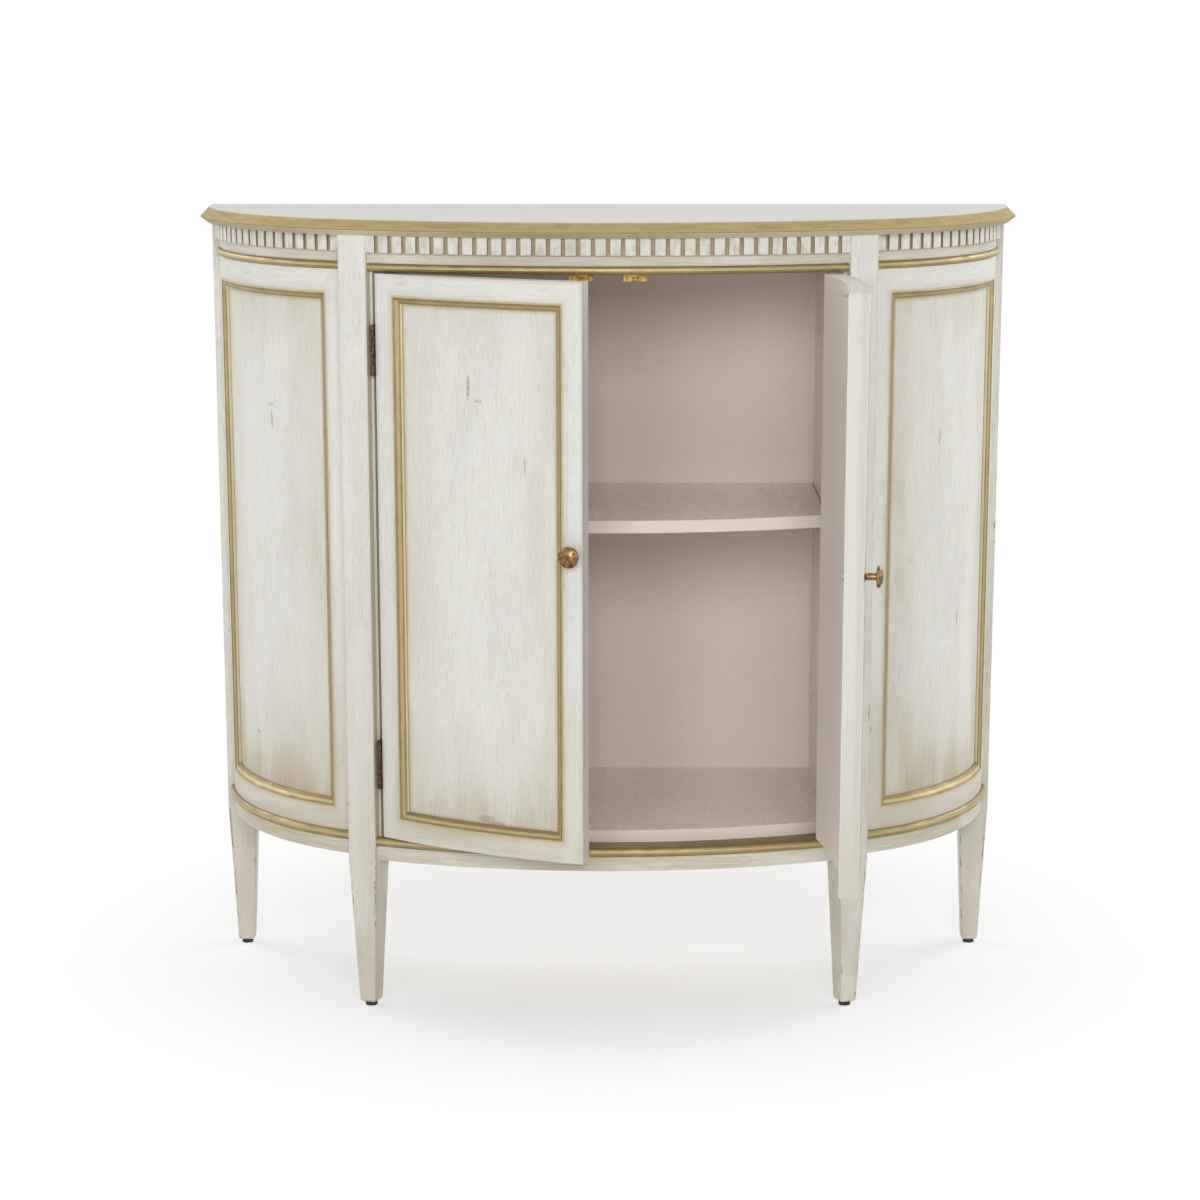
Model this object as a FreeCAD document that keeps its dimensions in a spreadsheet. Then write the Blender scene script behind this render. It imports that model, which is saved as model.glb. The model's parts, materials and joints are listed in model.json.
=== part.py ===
import FreeCAD, Part
import math
import os
import re
import Sketcher

# Demilune cabinet: a half-round painted case on tapered legs, with two bowed doors that swing on butt hinges.
# Millimetres, +Z up, the front towards -Y. The origin is on the floor, below the middle of the top's back.
# Every piece is drawn once on the right (+X) with its door shut, then mirrored and swung to where it rests.

SIZES = [
    ("total_height", 914.0, "floor to the upper face of the top board"),
    ("top_thickness", 17.0, "top board"),
    ("top_half_width", 486.0, "middle to the end of the top board"),
    ("top_depth", 366.0, "back edge to the front of the top board"),
    ("top_return", 5.0, "straight end of the top board before its curve starts"),
    ("top_slope", 11.0, "gilded slope round the upper edge of the top board"),
    ("top_under", 7.0, "slope under the edge of the top board, measured inwards"),
    ("top_under_rise", 5.5, "slope under the edge of the top board, measured upwards"),
    ("side_overhang", 15.35, "end of the top board beyond the outer face of a back post"),
    ("front_overhang", 14.0, "front of the top board beyond the front face of the case"),
    ("back_inset", 6.0, "back of the case behind the back edge of the top board"),
    ("front_radius", 736.0, "front face of the frieze, doors and apron, in plan"),
    ("side_inset", 6.75, "outer face of a side, at its widest, inside the outer face of the back post"),
    ("side_set_back", 19.5, "front face of a front post to the outer face of the side that meets it"),
    ("side_centre_inset", 9.0, "back edge of the top board to the centre of a side's curve"),
    ("post_angle", 22.65, "degrees from straight ahead to a front post"),
    ("post_width", 35.0, "square section of a post"),
    ("post_proud", 5.0, "front post beyond the front face of the case"),
    ("edge_ease", 0.8, "worn rounding along the edges of a post"),
    ("apron_bottom", 180.5, "floor to the lower edge of the apron, where the legs start to taper"),
    ("foot_width", 19.5, "square section at the bottom of a leg"),
    ("foot_chamfer", 2.5, "worn edge round the bottom of a leg"),
    ("glide_radius", 7.0, "nail-on glide under a leg"),
    ("glide_height", 5.0, "nail-on glide under a leg"),
    ("apron_height", 17.0, "apron under the base moulding"),
    ("member_thickness", 20.0, "side frieze, side frame and apron"),
    ("base_thickness", 10.5, "base moulding"),
    ("base_depth", 30.0, "base moulding behind the face of the case"),
    ("base_ledge", 1.5, "flat of the base moulding in front of the case"),
    ("base_nose", 3.5, "rounding at the front of the base moulding"),
    ("floor_thickness", 14.0, "bottom board"),
    ("floor_set_back", 26.0, "front face of the case to the front of the bottom board"),
    ("fit_gap", 0.3, "play between a board and the curved pieces round it"),
    ("frieze_height", 39.5, "frieze from the top board down to the doors"),
    ("frieze_depth", 45.0, "front frieze rail, front to back"),
    ("bead_height", 9.0, "gilded bead along the frieze"),
    ("bead_out", 4.0, "gilded bead in front of the frieze"),
    ("dentil_height", 19.0, "dentil moulding"),
    ("dentil_out", 4.5, "teeth of the dentil moulding in front of the frieze"),
    ("dentil_cut", 3.6, "depth of the gaps between teeth"),
    ("dentil_gap", 4.9, "width of the gaps between teeth"),
    ("dentil_pitch", 16.4, "one tooth to the next"),
    ("dentil_first", 16.9, "first tooth of a side, beside the front post"),
    ("dentil_end", 3.0, "least width of the last tooth beside a post"),
    ("front_stile", 28.4, "upright of a side, beside the front post"),
    ("back_stile", 30.6, "upright of a side, beside the back post"),
    ("side_rail", 26.0, "cross piece of a side frame"),
    ("hinge_stile", 25.2, "upright of a door, on its hinges"),
    ("meeting_stile", 23.0, "upright of a door, where the two doors meet"),
    ("door_rail", 24.0, "cross piece of a door frame"),
    ("panel_recess", 7.0, "front face of a frame to the panel in it"),
    ("panel_thickness", 6.0, "panel of a side; a door's panel is flush with its frame inside"),
    ("panel_lap", 6.0, "panel held behind its frame"),
    ("panel_play", 0.2, "room for a panel to move in its frame"),
    ("moulding_width", 9.5, "gilded moulding round a panel"),
    ("moulding_lip", 0.5, "moulding in front of its frame"),
    ("moulding_flat", 2.0, "outer flat of the moulding"),
    ("moulding_edge", 1.5, "inner edge of the moulding above the panel"),
    ("door_thickness", 21.0, "door frame"),
    ("door_gap_top", 2.0, "door below the frieze"),
    ("door_gap_bottom", 1.2, "door above the base moulding"),
    ("meeting_gap", 2.4, "between the two doors when both are shut"),
    ("left_open", 18.0, "degrees that the left door stands open"),
    ("right_open", 81.5, "degrees that the right door stands open"),
    ("hinge_gap", 7.7, "door edge to post, filled by the jamb strip and the hinge leaves"),
    ("jamb_thickness", 3.0, "jamb strip on the inner side of a front post, which carries the hinge leaves"),
    ("jamb_set_back", 5.0, "front face of the case to the front of the jamb strip"),
    ("hinge_height", 57.0, "butt hinge"),
    ("hinge_inset", 57.0, "end of a door to the nearer end of its hinge"),
    ("leaf_thickness", 2.0, "hinge leaf"),
    ("leaf_width", 16.0, "hinge leaf"),
    ("axis_inset", 1.6, "door edge to the hinge axis, towards the post"),
    ("barrel_radius", 2.2, "hinge knuckles"),
    ("barrel_gap", 0.4, "hinge knuckles to the wood beside them"),
    ("pin_radius", 1.1, "hinge pin"),
    ("pin_play", 0.05, "hinge pin in its knuckles, on the radius"),
    ("knuckle_gap", 0.3, "between two knuckles"),
    ("screw_head_radius", 2.2, "countersunk screw"),
    ("screw_radius", 1.2, "countersunk screw"),
    ("screw_length", 12.0, "countersunk screw with its head"),
    ("knob_level", 559.0, "floor to the middle of a knob"),
    ("knob_edge", 11.0, "meeting edge of a door to the middle of its knob"),
    ("knob_head_radius", 12.0, "knob"),
    ("knob_head_thickness", 8.0, "knob"),
    ("knob_stem_radius", 3.7, "knob"),
    ("knob_stem_length", 12.0, "knob"),
    ("knob_foot_radius", 5.5, "foot of the knob on the door"),
    ("bolt_radius", 2.0, "screw that holds a knob"),
    ("bolt_play", 0.1, "knob screw in the door, on the radius"),
    ("bolt_grip", 10.0, "knob screw inside the knob"),
    ("bolt_head_radius", 4.5, "head of the knob screw"),
    ("bolt_head_height", 2.2, "head of the knob screw"),
    ("partition_set", 5.75, "inner face of a partition beyond the inner corner of its post"),
    ("partition_thickness", 12.0, "upright partition behind a front post"),
    ("back_thickness", 6.0, "back panel"),
    ("back_rail_thickness", 16.0, "rails across the back"),
    ("shelf_level", 579.3, "floor to the upper face of the shelf"),
    ("shelf_thickness", 14.0, "shelf"),
    ("shelf_set_back", 37.0, "front face of the case to the front of the shelf"),
    ("shelf_gap", 1.0, "shelf to a partition"),
    ("support_radius", 2.5, "shelf support pin"),
    ("support_out", 10.0, "shelf support pin outside its hole"),
    ("support_in", 8.0, "shelf support pin in its hole"),
    ("support_play", 0.05, "shelf support pin in its hole, on the radius"),
    ("support_inset", 48.0, "end of a partition to the nearer shelf support pin"),
    ("block_length", 60.0, "glue block under the top board"),
    ("block_width", 18.0, "glue block under the top board"),
    ("catch_middle", 31.0, "middle of the case to the middle of a catch"),
    ("catch_width", 26.0, "catch under the front frieze rail"),
    ("catch_height", 9.0, "catch under the front frieze rail"),
    ("catch_depth", 17.0, "catch under the front frieze rail"),
    ("catch_gap", 1.2, "catch to the strike plate of a shut door"),
    ("catch_slot", 8.0, "slot of the catch"),
    ("catch_slot_height", 5.0, "slot of the catch"),
    ("catch_slot_depth", 12.0, "slot of the catch"),
    ("strike_width", 18.0, "strike plate"),
    ("strike_height", 9.0, "strike plate"),
    ("strike_thickness", 1.2, "strike plate"),
    ("seat_gap", 0.1, "flat piece to the curved inner face of a door"),
    ("tongue_width", 5.0, "tongue of the strike plate"),
    ("tongue_length", 9.0, "tongue of the strike plate"),
    ("tongue_height", 2.5, "tongue of the strike plate"),
    ("cut_past", 1.0, "how far a cutter runs past the wood it cuts"),
]
NAMES = {alias for alias, value, meaning in SIZES}

# Lengths that follow from the sizes. A side's curve runs from the back post to its seat on the front post.
DERIVED = {
    "case_half_width": "top_half_width - side_overhang",
    "case_depth": "top_depth - front_overhang",
    "post_reach": "front_radius + post_proud - post_width / 2",
    "post_x": "post_reach * sin(post_angle)",
    "post_y": "front_radius - case_depth - post_reach * cos(post_angle)",
    "seat_x": "post_x + (post_width / 2 - side_set_back) * sin(post_angle)",
    "seat_y": "post_y - (post_width / 2 - side_set_back) * cos(post_angle)",
    "side_reach": "case_half_width - side_inset",
    "side_centre_x": "(side_reach ^ 2 - seat_x ^ 2 - (seat_y + side_centre_inset) ^ 2)"
                     " / (2 * (side_reach - seat_x))",
    "side_radius": "side_reach - side_centre_x",
    "partition_inner": "post_x - post_width / 2 * (cos(post_angle) + sin(post_angle)) - partition_set",
    "partition_front": "post_y + post_width / 2 * (cos(post_angle) - sin(post_angle))",
}

doc = FreeCAD.newDocument("demilune_cabinet")
sheet = doc.addObject("Spreadsheet::Sheet", "sizes")
for row, (alias, value, meaning) in enumerate(SIZES, start=1):
    sheet.set("A%d" % row, meaning)
    sheet.set("B%d" % row, str(value))
    sheet.setAlias("B%d" % row, alias)
doc.recompute()

nodes = {}


def formula(text):
    """The expression with each derived length spelled out and each size looked up in the sheet."""

    def spell(match):
        word = match.group()
        if word in DERIVED:
            return "(%s)" % formula(DERIVED[word])
        return "sizes." + word if word in NAMES else word

    return re.sub(r"[a-z_]+", spell, text)


def number(text):
    """The value of an expression, to draw a sketch's first outline."""
    return float(sheet.evalExpression(formula(text)))


def bind(item, formulas):
    for name, text in formulas.items():
        item.setExpression(name, formula(text))


def place(item, x="0", y="0", z="0", turn="0"):
    item.Placement = FreeCAD.Placement(FreeCAD.Vector(0, 0, 0), FreeCAD.Rotation(FreeCAD.Vector(0, 0, 1), 0))
    bind(item, {
        "Placement.Base.x": x,
        "Placement.Base.y": y,
        "Placement.Base.z": z,
        "Placement.Rotation.Angle": "(%s) * 1deg" % turn,
    })


def degrees(length, radius):
    """The angle of a length along a curve."""
    return "((%s) / (%s) * 180 / pi)" % (length, radius)


def box(name, x, y, z, length, width, height, turn="0"):
    item = doc.addObject("Part::Box", name)
    bind(item, {"Length": length, "Width": width, "Height": height})
    place(item, x, y, z, turn)
    return item


def upright(name, x, y, low, high, radius):
    item = doc.addObject("Part::Cylinder", name)
    bind(item, {"Radius": radius, "Height": "(%s) - (%s)" % (high, low)})
    place(item, x, y, low)
    return item


def cut(name, base, tools):
    """The base without the tools, which don't touch each other."""
    item = doc.addObject("Part::Cut", name)
    item.Base = base
    item.Tool = tools[0] if len(tools) == 1 else group(name + "_cutters", tools)
    return item


def fuse(name, pieces):
    item = doc.addObject("Part::MultiFuse", name)
    item.Shapes = pieces
    return item


def common(name, first, second):
    item = doc.addObject("Part::Common", name)
    item.Base = first
    item.Tool = second
    return item


def group(name, pieces):
    item = doc.addObject("Part::Compound", name)
    item.Links = pieces
    return item


def mirror(name, piece):
    item = doc.addObject("Part::Mirroring", name)
    item.Source = piece
    item.Normal = FreeCAD.Vector(1, 0, 0)
    return item


def sector(name, centre, inner, outer, low, high, start, end):
    """An upright wall between two radii. Angles run from straight ahead towards +X."""
    walls = []
    for part, radius in (("outer", outer), ("core", inner)):
        wall = upright("%s_%s" % (name, part), centre[0], centre[1], low, high, radius)
        place(wall, centre[0], centre[1], low, "(%s) - 90" % start)
        bind(wall, {"Angle": "((%s) - (%s)) * 1deg" % (end, start)})
        walls.append(wall)
    return cut(name, walls[0], walls[1:])


def new_body(name):
    return doc.addObject("PartDesign::Body", name)


def outline(body, name, role, corners, arcs={}, lift="0"):
    """A closed sketch through the corners. arcs gives the radius of a side that swells to the left."""
    sketch = body.newObject("Sketcher::SketchObject", name)
    plane = [feature for feature in body.Origin.OriginFeatures if feature.Role == role][0]
    sketch.AttachmentSupport = [(plane, "")]
    sketch.MapMode = "FlatFace"
    bind(sketch, {"AttachmentOffset.Base.z": lift})
    points = [FreeCAD.Vector(number(x), number(y), 0) for x, y in corners]
    count = len(points)
    for side, start in enumerate(points):
        end = points[(side + 1) % count]
        if side in arcs:
            radius = number(arcs[side])
            chord = end - start
            outward = FreeCAD.Vector(-chord.y, chord.x, 0).normalize()
            swell = radius - math.sqrt(radius ** 2 - chord.Length ** 2 / 4)
            sketch.addGeometry(Part.Arc(end, (start + end) * 0.5 + outward * swell, start), False)
        else:
            sketch.addGeometry(Part.LineSegment(start, end), False)
    for side in range(count):
        following = (side + 1) % count
        end_point = 1 if side in arcs else 2
        start_point = 2 if following in arcs else 1
        sketch.addConstraint(Sketcher.Constraint("Coincident", side, end_point, following, start_point))
    for side, (x, y) in enumerate(corners):
        corner = 2 if side in arcs else 1
        for kind, text in (("DistanceX", x), ("DistanceY", y)):
            index = sketch.addConstraint(Sketcher.Constraint(kind, -1, 1, side, corner, number(text)))
            bind(sketch, {"Constraints[%d]" % index: text})
    for side, text in arcs.items():
        index = sketch.addConstraint(Sketcher.Constraint("Radius", side, number(text)))
        bind(sketch, {"Constraints[%d]" % index: text})
    return sketch


def pad(body, name, sketch, length):
    feature = body.newObject("PartDesign::Pad", name)
    feature.Profile = sketch
    bind(feature, {"Length": length})
    return feature


def revolve(body, name, sketch, angle, axis="V_Axis", kind="PartDesign::Revolution"):
    feature = body.newObject(kind, name)
    feature.Profile = sketch
    feature.ReferenceAxis = (sketch, [axis])
    bind(feature, {"Angle": "(%s) * 1deg" % angle})
    return feature


def dress(body, name, kind, size, chosen):
    """A fillet or chamfer on the edges of the body's last feature that the test chooses."""
    doc.recompute()
    base = body.Tip
    edges = ["Edge%d" % (index + 1) for index, edge in enumerate(base.Shape.Edges) if chosen(edge)]
    feature = body.newObject(kind, name)
    feature.Base = (base, edges)
    bind(feature, {"Radius" if kind.endswith("Fillet") else "Size": size})
    return feature


def rectangle(left, low, right, high):
    return [(left, low), (right, low), (right, high), (left, high)]


def curved_strip(name, centre, corners, arcs, start, end):
    """A moulding swept round a centre line. The corners of its section are (radius, height)."""
    body = new_body(name + "_strip")
    section = outline(body, name + "_section", "XZ_Plane", corners, arcs)
    revolve(body, name + "_sweep", section, "(%s) - (%s)" % (end, start))
    place(body, centre[0], centre[1], "0", "(%s) - 90" % start)
    return body


def node(name, item):
    item.Label = name
    nodes[name] = item


def pair(name, piece):
    """The right-hand piece of the case and its mirror image."""
    node("right_" + name, piece)
    node("left_" + name, mirror("left_" + name, piece))


# Heights of the main levels
TOP_LOW = "(total_height - top_thickness)"
FRIEZE_LOW = "(total_height - top_thickness - frieze_height)"
BASE_LOW = "(apron_bottom + apron_height)"
BASE_HIGH = "(apron_bottom + apron_height + base_thickness)"
FLOOR_HIGH = "(apron_bottom + apron_height + base_thickness + floor_thickness)"
DOOR_LOW = "(%s + door_gap_bottom)" % BASE_HIGH
DOOR_HIGH = "(%s - door_gap_top)" % FRIEZE_LOW

# Centres of the plan curves and of the posts
FRONT = ("0", "(front_radius - case_depth)")
SIDE = ("side_centre_x", "(-side_centre_inset)")
BACK_X = "(case_half_width - post_width / 2)"
BACK_Y = "(-back_inset - post_width / 2)"
PANEL_BACK = "(-back_inset - back_thickness)"

# Angles along a side, seen from the centre of its curve
SIDE_POST = "(atan((post_x - side_centre_x) / (-side_centre_inset - post_y)) / 1deg)"
SIDE_START = "(%s + %s)" % (SIDE_POST, degrees("post_width / 2", "side_radius"))
SIDE_END = "(acos((back_inset + post_width - side_centre_inset) / side_radius) / 1deg)"


def at_post(x, y):
    """A point by the right front post: x outwards along the curve, y towards the back, from its middle."""
    across = "post_x + (%s) * cos(post_angle) - (%s) * sin(post_angle)" % (x, y)
    along = "post_y + (%s) * sin(post_angle) + (%s) * cos(post_angle)" % (x, y)
    return across, along


def post_box(name, x, y, z, length, width, height):
    corner = at_post(x, y)
    return box(name, corner[0], corner[1], z, length, width, height, "post_angle")


def post_zone(name, spare):
    """All the room in front of and behind the right front post, to stop a curved piece at the post's side."""
    half = "(post_width / 2 + %s)" % spare
    return post_box(name, "-" + half, "-2 * post_width", "0", "2 * " + half, "4 * post_width", "total_height")


front_zone = post_zone("front_zone", "0")
front_zones = [front_zone, mirror("front_zone_left", front_zone)]
door_zone = post_zone("door_zone", "hinge_gap")
back_zone = box("back_zone", BACK_X + " - post_width", "-back_inset - post_width", "0",
                "2 * post_width", "2 * post_width", "total_height")
side_zones = [front_zone, back_zone]


def top_plan(body, name, inset, lift):
    """The plan of the top board, inside its edge: three tangent arcs between two short straight ends."""
    half_turn = "tan(post_angle / 2)"
    end_depth = "(top_depth - top_return - top_half_width * %s)" % half_turn
    end_radius = "(%s / (1 - %s))" % (end_depth, half_turn)
    bow_radius = "(%s + (top_half_width - %s) / sin(post_angle))" % (end_radius, end_radius)
    half = "(top_half_width - %s)" % inset
    turn_x = "(top_half_width - %s + (%s - %s) * sin(post_angle))" % (end_radius, end_radius, inset)
    turn_y = "(-top_return - (%s - %s) * cos(post_angle))" % (end_radius, inset)
    corners = [
        (half, "0"),
        (half, "-top_return"),
        (turn_x, turn_y),
        ("-" + turn_x, turn_y),
        ("-" + half, "-top_return"),
        ("-" + half, "0"),
    ]
    end_arc = "%s - %s" % (end_radius, inset)
    bow_arc = "%s - %s" % (bow_radius, inset)
    return outline(body, name, "XY_Plane", corners, {1: end_arc, 2: bow_arc, 3: end_arc}, lift)


def make_top():
    """The top board, with a gilded slope above its edge and a plain one below."""
    body = new_body("top_board")
    edge = top_plan(body, "top_edge", "0", "top_under_rise")
    pad(body, "top_slab", edge, "top_thickness - top_under_rise")
    level = number("top_thickness")
    dress(body, "top_edge_slope", "PartDesign::Chamfer", "top_slope",
          lambda edge: all(abs(v.Z - level) < 0.01 for v in edge.Vertexes) and edge.CenterOfMass.y < -0.01)
    under = body.newObject("PartDesign::AdditiveLoft", "top_under_slope")
    under.Profile = top_plan(body, "top_under_edge", "0", "top_under_rise")
    under.Sections = [top_plan(body, "top_foot", "top_under", "0")]
    under.Ruled = True
    place(body, "0", "0", TOP_LOW)
    node("top_board", body)


def square(width):
    half = "(%s / 2)" % width
    return rectangle("-" + half, "-" + half, half, half)


def make_post(name, x, y, turn):
    """A post from the top board to the apron, then a leg that tapers on all four sides."""
    body = new_body(name)
    section = outline(body, name + "_section", "XY_Plane", square("post_width"), lift="apron_bottom")
    pad(body, name + "_shaft", section, TOP_LOW + " - apron_bottom")
    knee = outline(body, name + "_knee", "XY_Plane", square("post_width"), lift="apron_bottom")
    foot = outline(body, name + "_foot", "XY_Plane", square("foot_width"), lift="glide_height")
    leg = body.newObject("PartDesign::AdditiveLoft", name + "_leg")
    leg.Profile = knee
    leg.Sections = [foot]
    leg.Ruled = True
    level = number("glide_height")
    dress(body, name + "_foot_edge", "PartDesign::Chamfer", "foot_chamfer",
          lambda edge: all(abs(v.Z - level) < 0.01 for v in edge.Vertexes))
    dress(body, name + "_corners", "PartDesign::Fillet", "edge_ease",
          lambda edge: edge.BoundBox.ZLength > number("apron_height"))
    place(body, x, y, "0", turn)
    return body


def both_sides(pieces):
    """The right-hand pieces and their mirror images."""
    return pieces + [mirror(piece.Name + "_left", piece) for piece in pieces]


def make_glides():
    feet = (("post_x", "post_y"), (BACK_X, BACK_Y))
    right = []
    for i, (x, y) in enumerate(feet):
        right.append(upright("glide_%d" % i, x, y, "0", "glide_height", "glide_radius"))
    node("foot_glides", group("foot_glides", both_sides(right)))


def bead_radius(height, out):
    """The radius of an arc that stands out from a strip of this height."""
    return "((%s ^ 2 / 4 + %s ^ 2) / (2 * %s))" % (height, out, out)


def make_dentils(name, centre, radius, start, end, first, count):
    """A strip of teeth between two angles. The middle of its first gap is at the angle first."""
    face = "(%s + dentil_out)" % radius
    low = TOP_LOW + " - dentil_height"
    strip = curved_strip(name, centre, rectangle(radius, low, face, TOP_LOW), {}, start, end)
    gap = outline(strip, name + "_gap_section", "XZ_Plane",
                  rectangle(face + " - dentil_cut", low + " - cut_past", face + " + cut_past",
                            TOP_LOW + " + cut_past"))
    gap_angle = degrees("dentil_gap", face)
    turn = FreeCAD.Rotation(FreeCAD.Vector(0, 1, 0), 1)
    gap.AttachmentOffset = FreeCAD.Placement(FreeCAD.Vector(0, 0, 0), turn)
    first_turn = "((%s) - (%s) - %s / 2) * 1deg" % (first, start, gap_angle)
    bind(gap, {"AttachmentOffset.Rotation.Angle": first_turn})
    groove = revolve(strip, name + "_gap", gap, gap_angle, kind="PartDesign::Groove")
    pattern = strip.newObject("PartDesign::PolarPattern", name + "_gaps")
    pattern.Originals = [groove]
    pattern.Axis = (gap, ["V_Axis"])
    pattern.Mode = "Spacing"
    bind(pattern, {"Offset": "%s * 1deg" % degrees("dentil_pitch", face), "Occurrences": count})
    strip.Tip = pattern
    return strip


def make_level(name, build):
    """One moulding of the case in three lengths: the front between the posts, and a side and its mirror."""
    front = build(name + "_front", FRONT, "front_radius", "-post_angle", "post_angle")
    node("front_" + name, cut("front_" + name, front, front_zones))
    side = build(name + "_side", SIDE, "side_radius", SIDE_POST, "90")
    pair(name, cut("right_" + name, side, side_zones))


def make_mouldings():
    """The frieze, its dentils and bead, the base moulding and the apron, all round the case."""

    def frieze(name, centre, radius, start, end):
        depth = "frieze_depth" if centre is FRONT else "member_thickness"
        return sector(name, centre, "%s - %s" % (radius, depth), radius, FRIEZE_LOW, TOP_LOW, start, end)

    def dentils(name, centre, radius, start, end):
        face = "(%s + dentil_out)" % radius
        if centre is FRONT:
            half = "(post_angle * pi / 180 * %s - post_width / 2 - dentil_end - dentil_gap / 2)" % face
            steps = "floor(%s / dentil_pitch)" % half
            first = "-%s * %s" % (steps, degrees("dentil_pitch", face))
            return make_dentils(name, centre, radius, start, end, first, "2 * %s + 1" % steps)
        first = "%s + %s" % (SIDE_START, degrees("dentil_first + dentil_gap / 2", face))
        length = "((%s - %s) * pi / 180 * %s)" % (SIDE_END, SIDE_START, face)
        count = "floor((%s - dentil_first - dentil_gap - dentil_end) / dentil_pitch) + 1" % length
        return make_dentils(name, centre, radius, start, end, first, count)

    def bead(name, centre, radius, start, end):
        corners = [(radius, FRIEZE_LOW + " + bead_height"), (radius, FRIEZE_LOW)]
        return curved_strip(name, centre, corners, {0: bead_radius("bead_height", "bead_out")}, start, end)

    def base(name, centre, radius, start, end):
        back = "(%s - base_depth)" % radius
        edge = "(%s + base_ledge)" % radius
        corners = [(back, BASE_HIGH), (edge, BASE_HIGH), (edge, BASE_LOW), (back, BASE_LOW)]
        nose = {1: bead_radius("base_thickness", "base_nose")}
        return curved_strip(name, centre, corners, nose, start, end)

    def apron(name, centre, radius, start, end):
        inner = "%s - member_thickness" % radius
        return sector(name, centre, inner, radius, "apron_bottom", BASE_LOW, start, end)

    for name, build in (("frieze_rail", frieze), ("dentil_strip", dentils), ("frieze_bead", bead),
                        ("base_moulding", base), ("apron", apron)):
        make_level(name, build)


def make_moulding_frame(name, centre, radius, start, end, low, high):
    """The gilded frame round a panel, sloping in to it on all four sides, with mitred corners."""
    floor = "(%s - panel_recess)" % radius
    face = "(%s + moulding_lip)" % radius
    foot = "(%s + moulding_edge)" % floor
    block = sector(name + "_block", centre, floor, face, low, high, start, end)
    inner_low = "(%s + moulding_width)" % low
    outer_low = "(%s + moulding_flat)" % low
    inner_high = "(%s - moulding_width)" % high
    outer_high = "(%s - moulding_flat)" % high
    section = [
        (floor + " - cut_past", inner_low), (foot, inner_low),
        (face, outer_low), (face + " + cut_past", outer_low),
        (face + " + cut_past", outer_high), (face, outer_high),
        (foot, inner_high), (floor + " - cut_past", inner_high),
    ]
    window = curved_strip(name + "_window", centre, section, {}, start, end)
    near = floor + " - 2 * cut_past"
    beyond = face + " + 2 * cut_past"
    slopes = []
    for side, angle, sign in (("near", start, ""), ("far", end, "-")):
        corners = [
            (near, sign + "(-moulding_width)"), (beyond, sign + "(-moulding_width)"),
            (beyond, sign + "moulding_flat"), (face, sign + "moulding_flat"),
            (foot, sign + "moulding_width"), (near, sign + "moulding_width"),
        ]
        body = new_body("%s_%s_slope" % (name, side))
        plan = outline(body, "%s_%s_plan" % (name, side), "XY_Plane", corners)
        pad(body, "%s_%s_pad" % (name, side), plan, "(%s) - (%s)" % (high, low))
        place(body, centre[0], centre[1], low, "(%s) - 90" % angle)
        slopes.append(body)
    return cut(name, block, [cut(name + "_opening", window, slopes)])


def make_frame(name, centre, radius, thickness, panel_back, rail, low, high, start, end,
               stop_start, stop_end, edges):
    """A framed panel round a centre: stiles from the stops to the opening, rails, panel and gilded moulding.

    panel_back is the radius of the panel's inner face. start and end are the angles of the opening.
    edges lists what each stile is cut by besides the panel's rebate.
    """
    inner = "(%s - %s)" % (radius, thickness)
    bed = "(%s - panel_recess)" % radius
    sill = "(%s + %s)" % (low, rail)
    head = "(%s - %s)" % (high, rail)
    lap = degrees("panel_lap", radius)
    held = degrees("panel_lap - panel_play", radius)
    rebate = sector(name + "_rebate", centre, inner + " - cut_past", bed, sill + " - panel_lap",
                    head + " + panel_lap", "(%s) - %s" % (start, lap), "(%s) + %s" % (end, lap))
    stiles = []
    spans = (("start", stop_start, start, edges[0]), ("end", end, stop_end, edges[1]))
    for side, first, last, cutters in spans:
        wood = sector("%s_%s_wood" % (name, side), centre, inner, radius, low, high, first, last)
        shaped = cut("%s_%s_shaped" % (name, side), wood, cutters)
        stiles.append(cut("%s_%s_stile" % (name, side), shaped, [rebate]))
    rails = []
    for side, bottom, top in (("low", low, sill), ("high", head, high)):
        wood = sector("%s_%s_wood" % (name, side), centre, inner, radius, bottom, top, start, end)
        rails.append(cut("%s_%s_rail" % (name, side), wood, [rebate]))
    panel = sector(name + "_panel", centre, panel_back, bed + " - panel_play",
                   sill + " - panel_lap + panel_play", head + " + panel_lap - panel_play",
                   "(%s) - %s" % (start, held), "(%s) + %s" % (end, held))
    moulding = make_moulding_frame(name + "_moulding", centre, radius, start, end, sill, head)
    return stiles, group(name + "_rails", rails), panel, moulding


def make_sides():
    start = "(%s + %s)" % (SIDE_START, degrees("front_stile", "side_radius"))
    end = "(%s - %s)" % (SIDE_END, degrees("back_stile", "side_radius"))
    stiles, rails, panel, moulding = make_frame(
        "right_side", SIDE, "side_radius", "member_thickness",
        "(side_radius - panel_recess - panel_play - panel_thickness)", "side_rail", BASE_HIGH, FRIEZE_LOW,
        start, end, SIDE_POST, "90", ([front_zone], [back_zone]))
    pair("side_stiles", group("right_side_stiles", stiles))
    pair("side_rails", rails)
    pair("side_panel", panel)
    pair("side_moulding", moulding)


# The hinge axis of the right door, from the middle of its post, and in plan
FACE_Y = "(post_proud - post_width / 2)"
AXIS_OUT = "(barrel_radius + barrel_gap)"
AXIS_LOCAL = ("(-post_width / 2 - hinge_gap + axis_inset)", "(%s - %s)" % (FACE_Y, AXIS_OUT))
AXIS = at_post(*AXIS_LOCAL)
HINGE_LOWS = ("(%s + hinge_inset)" % DOOR_LOW, "(%s - hinge_inset - hinge_height)" % DOOR_HIGH)


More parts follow.
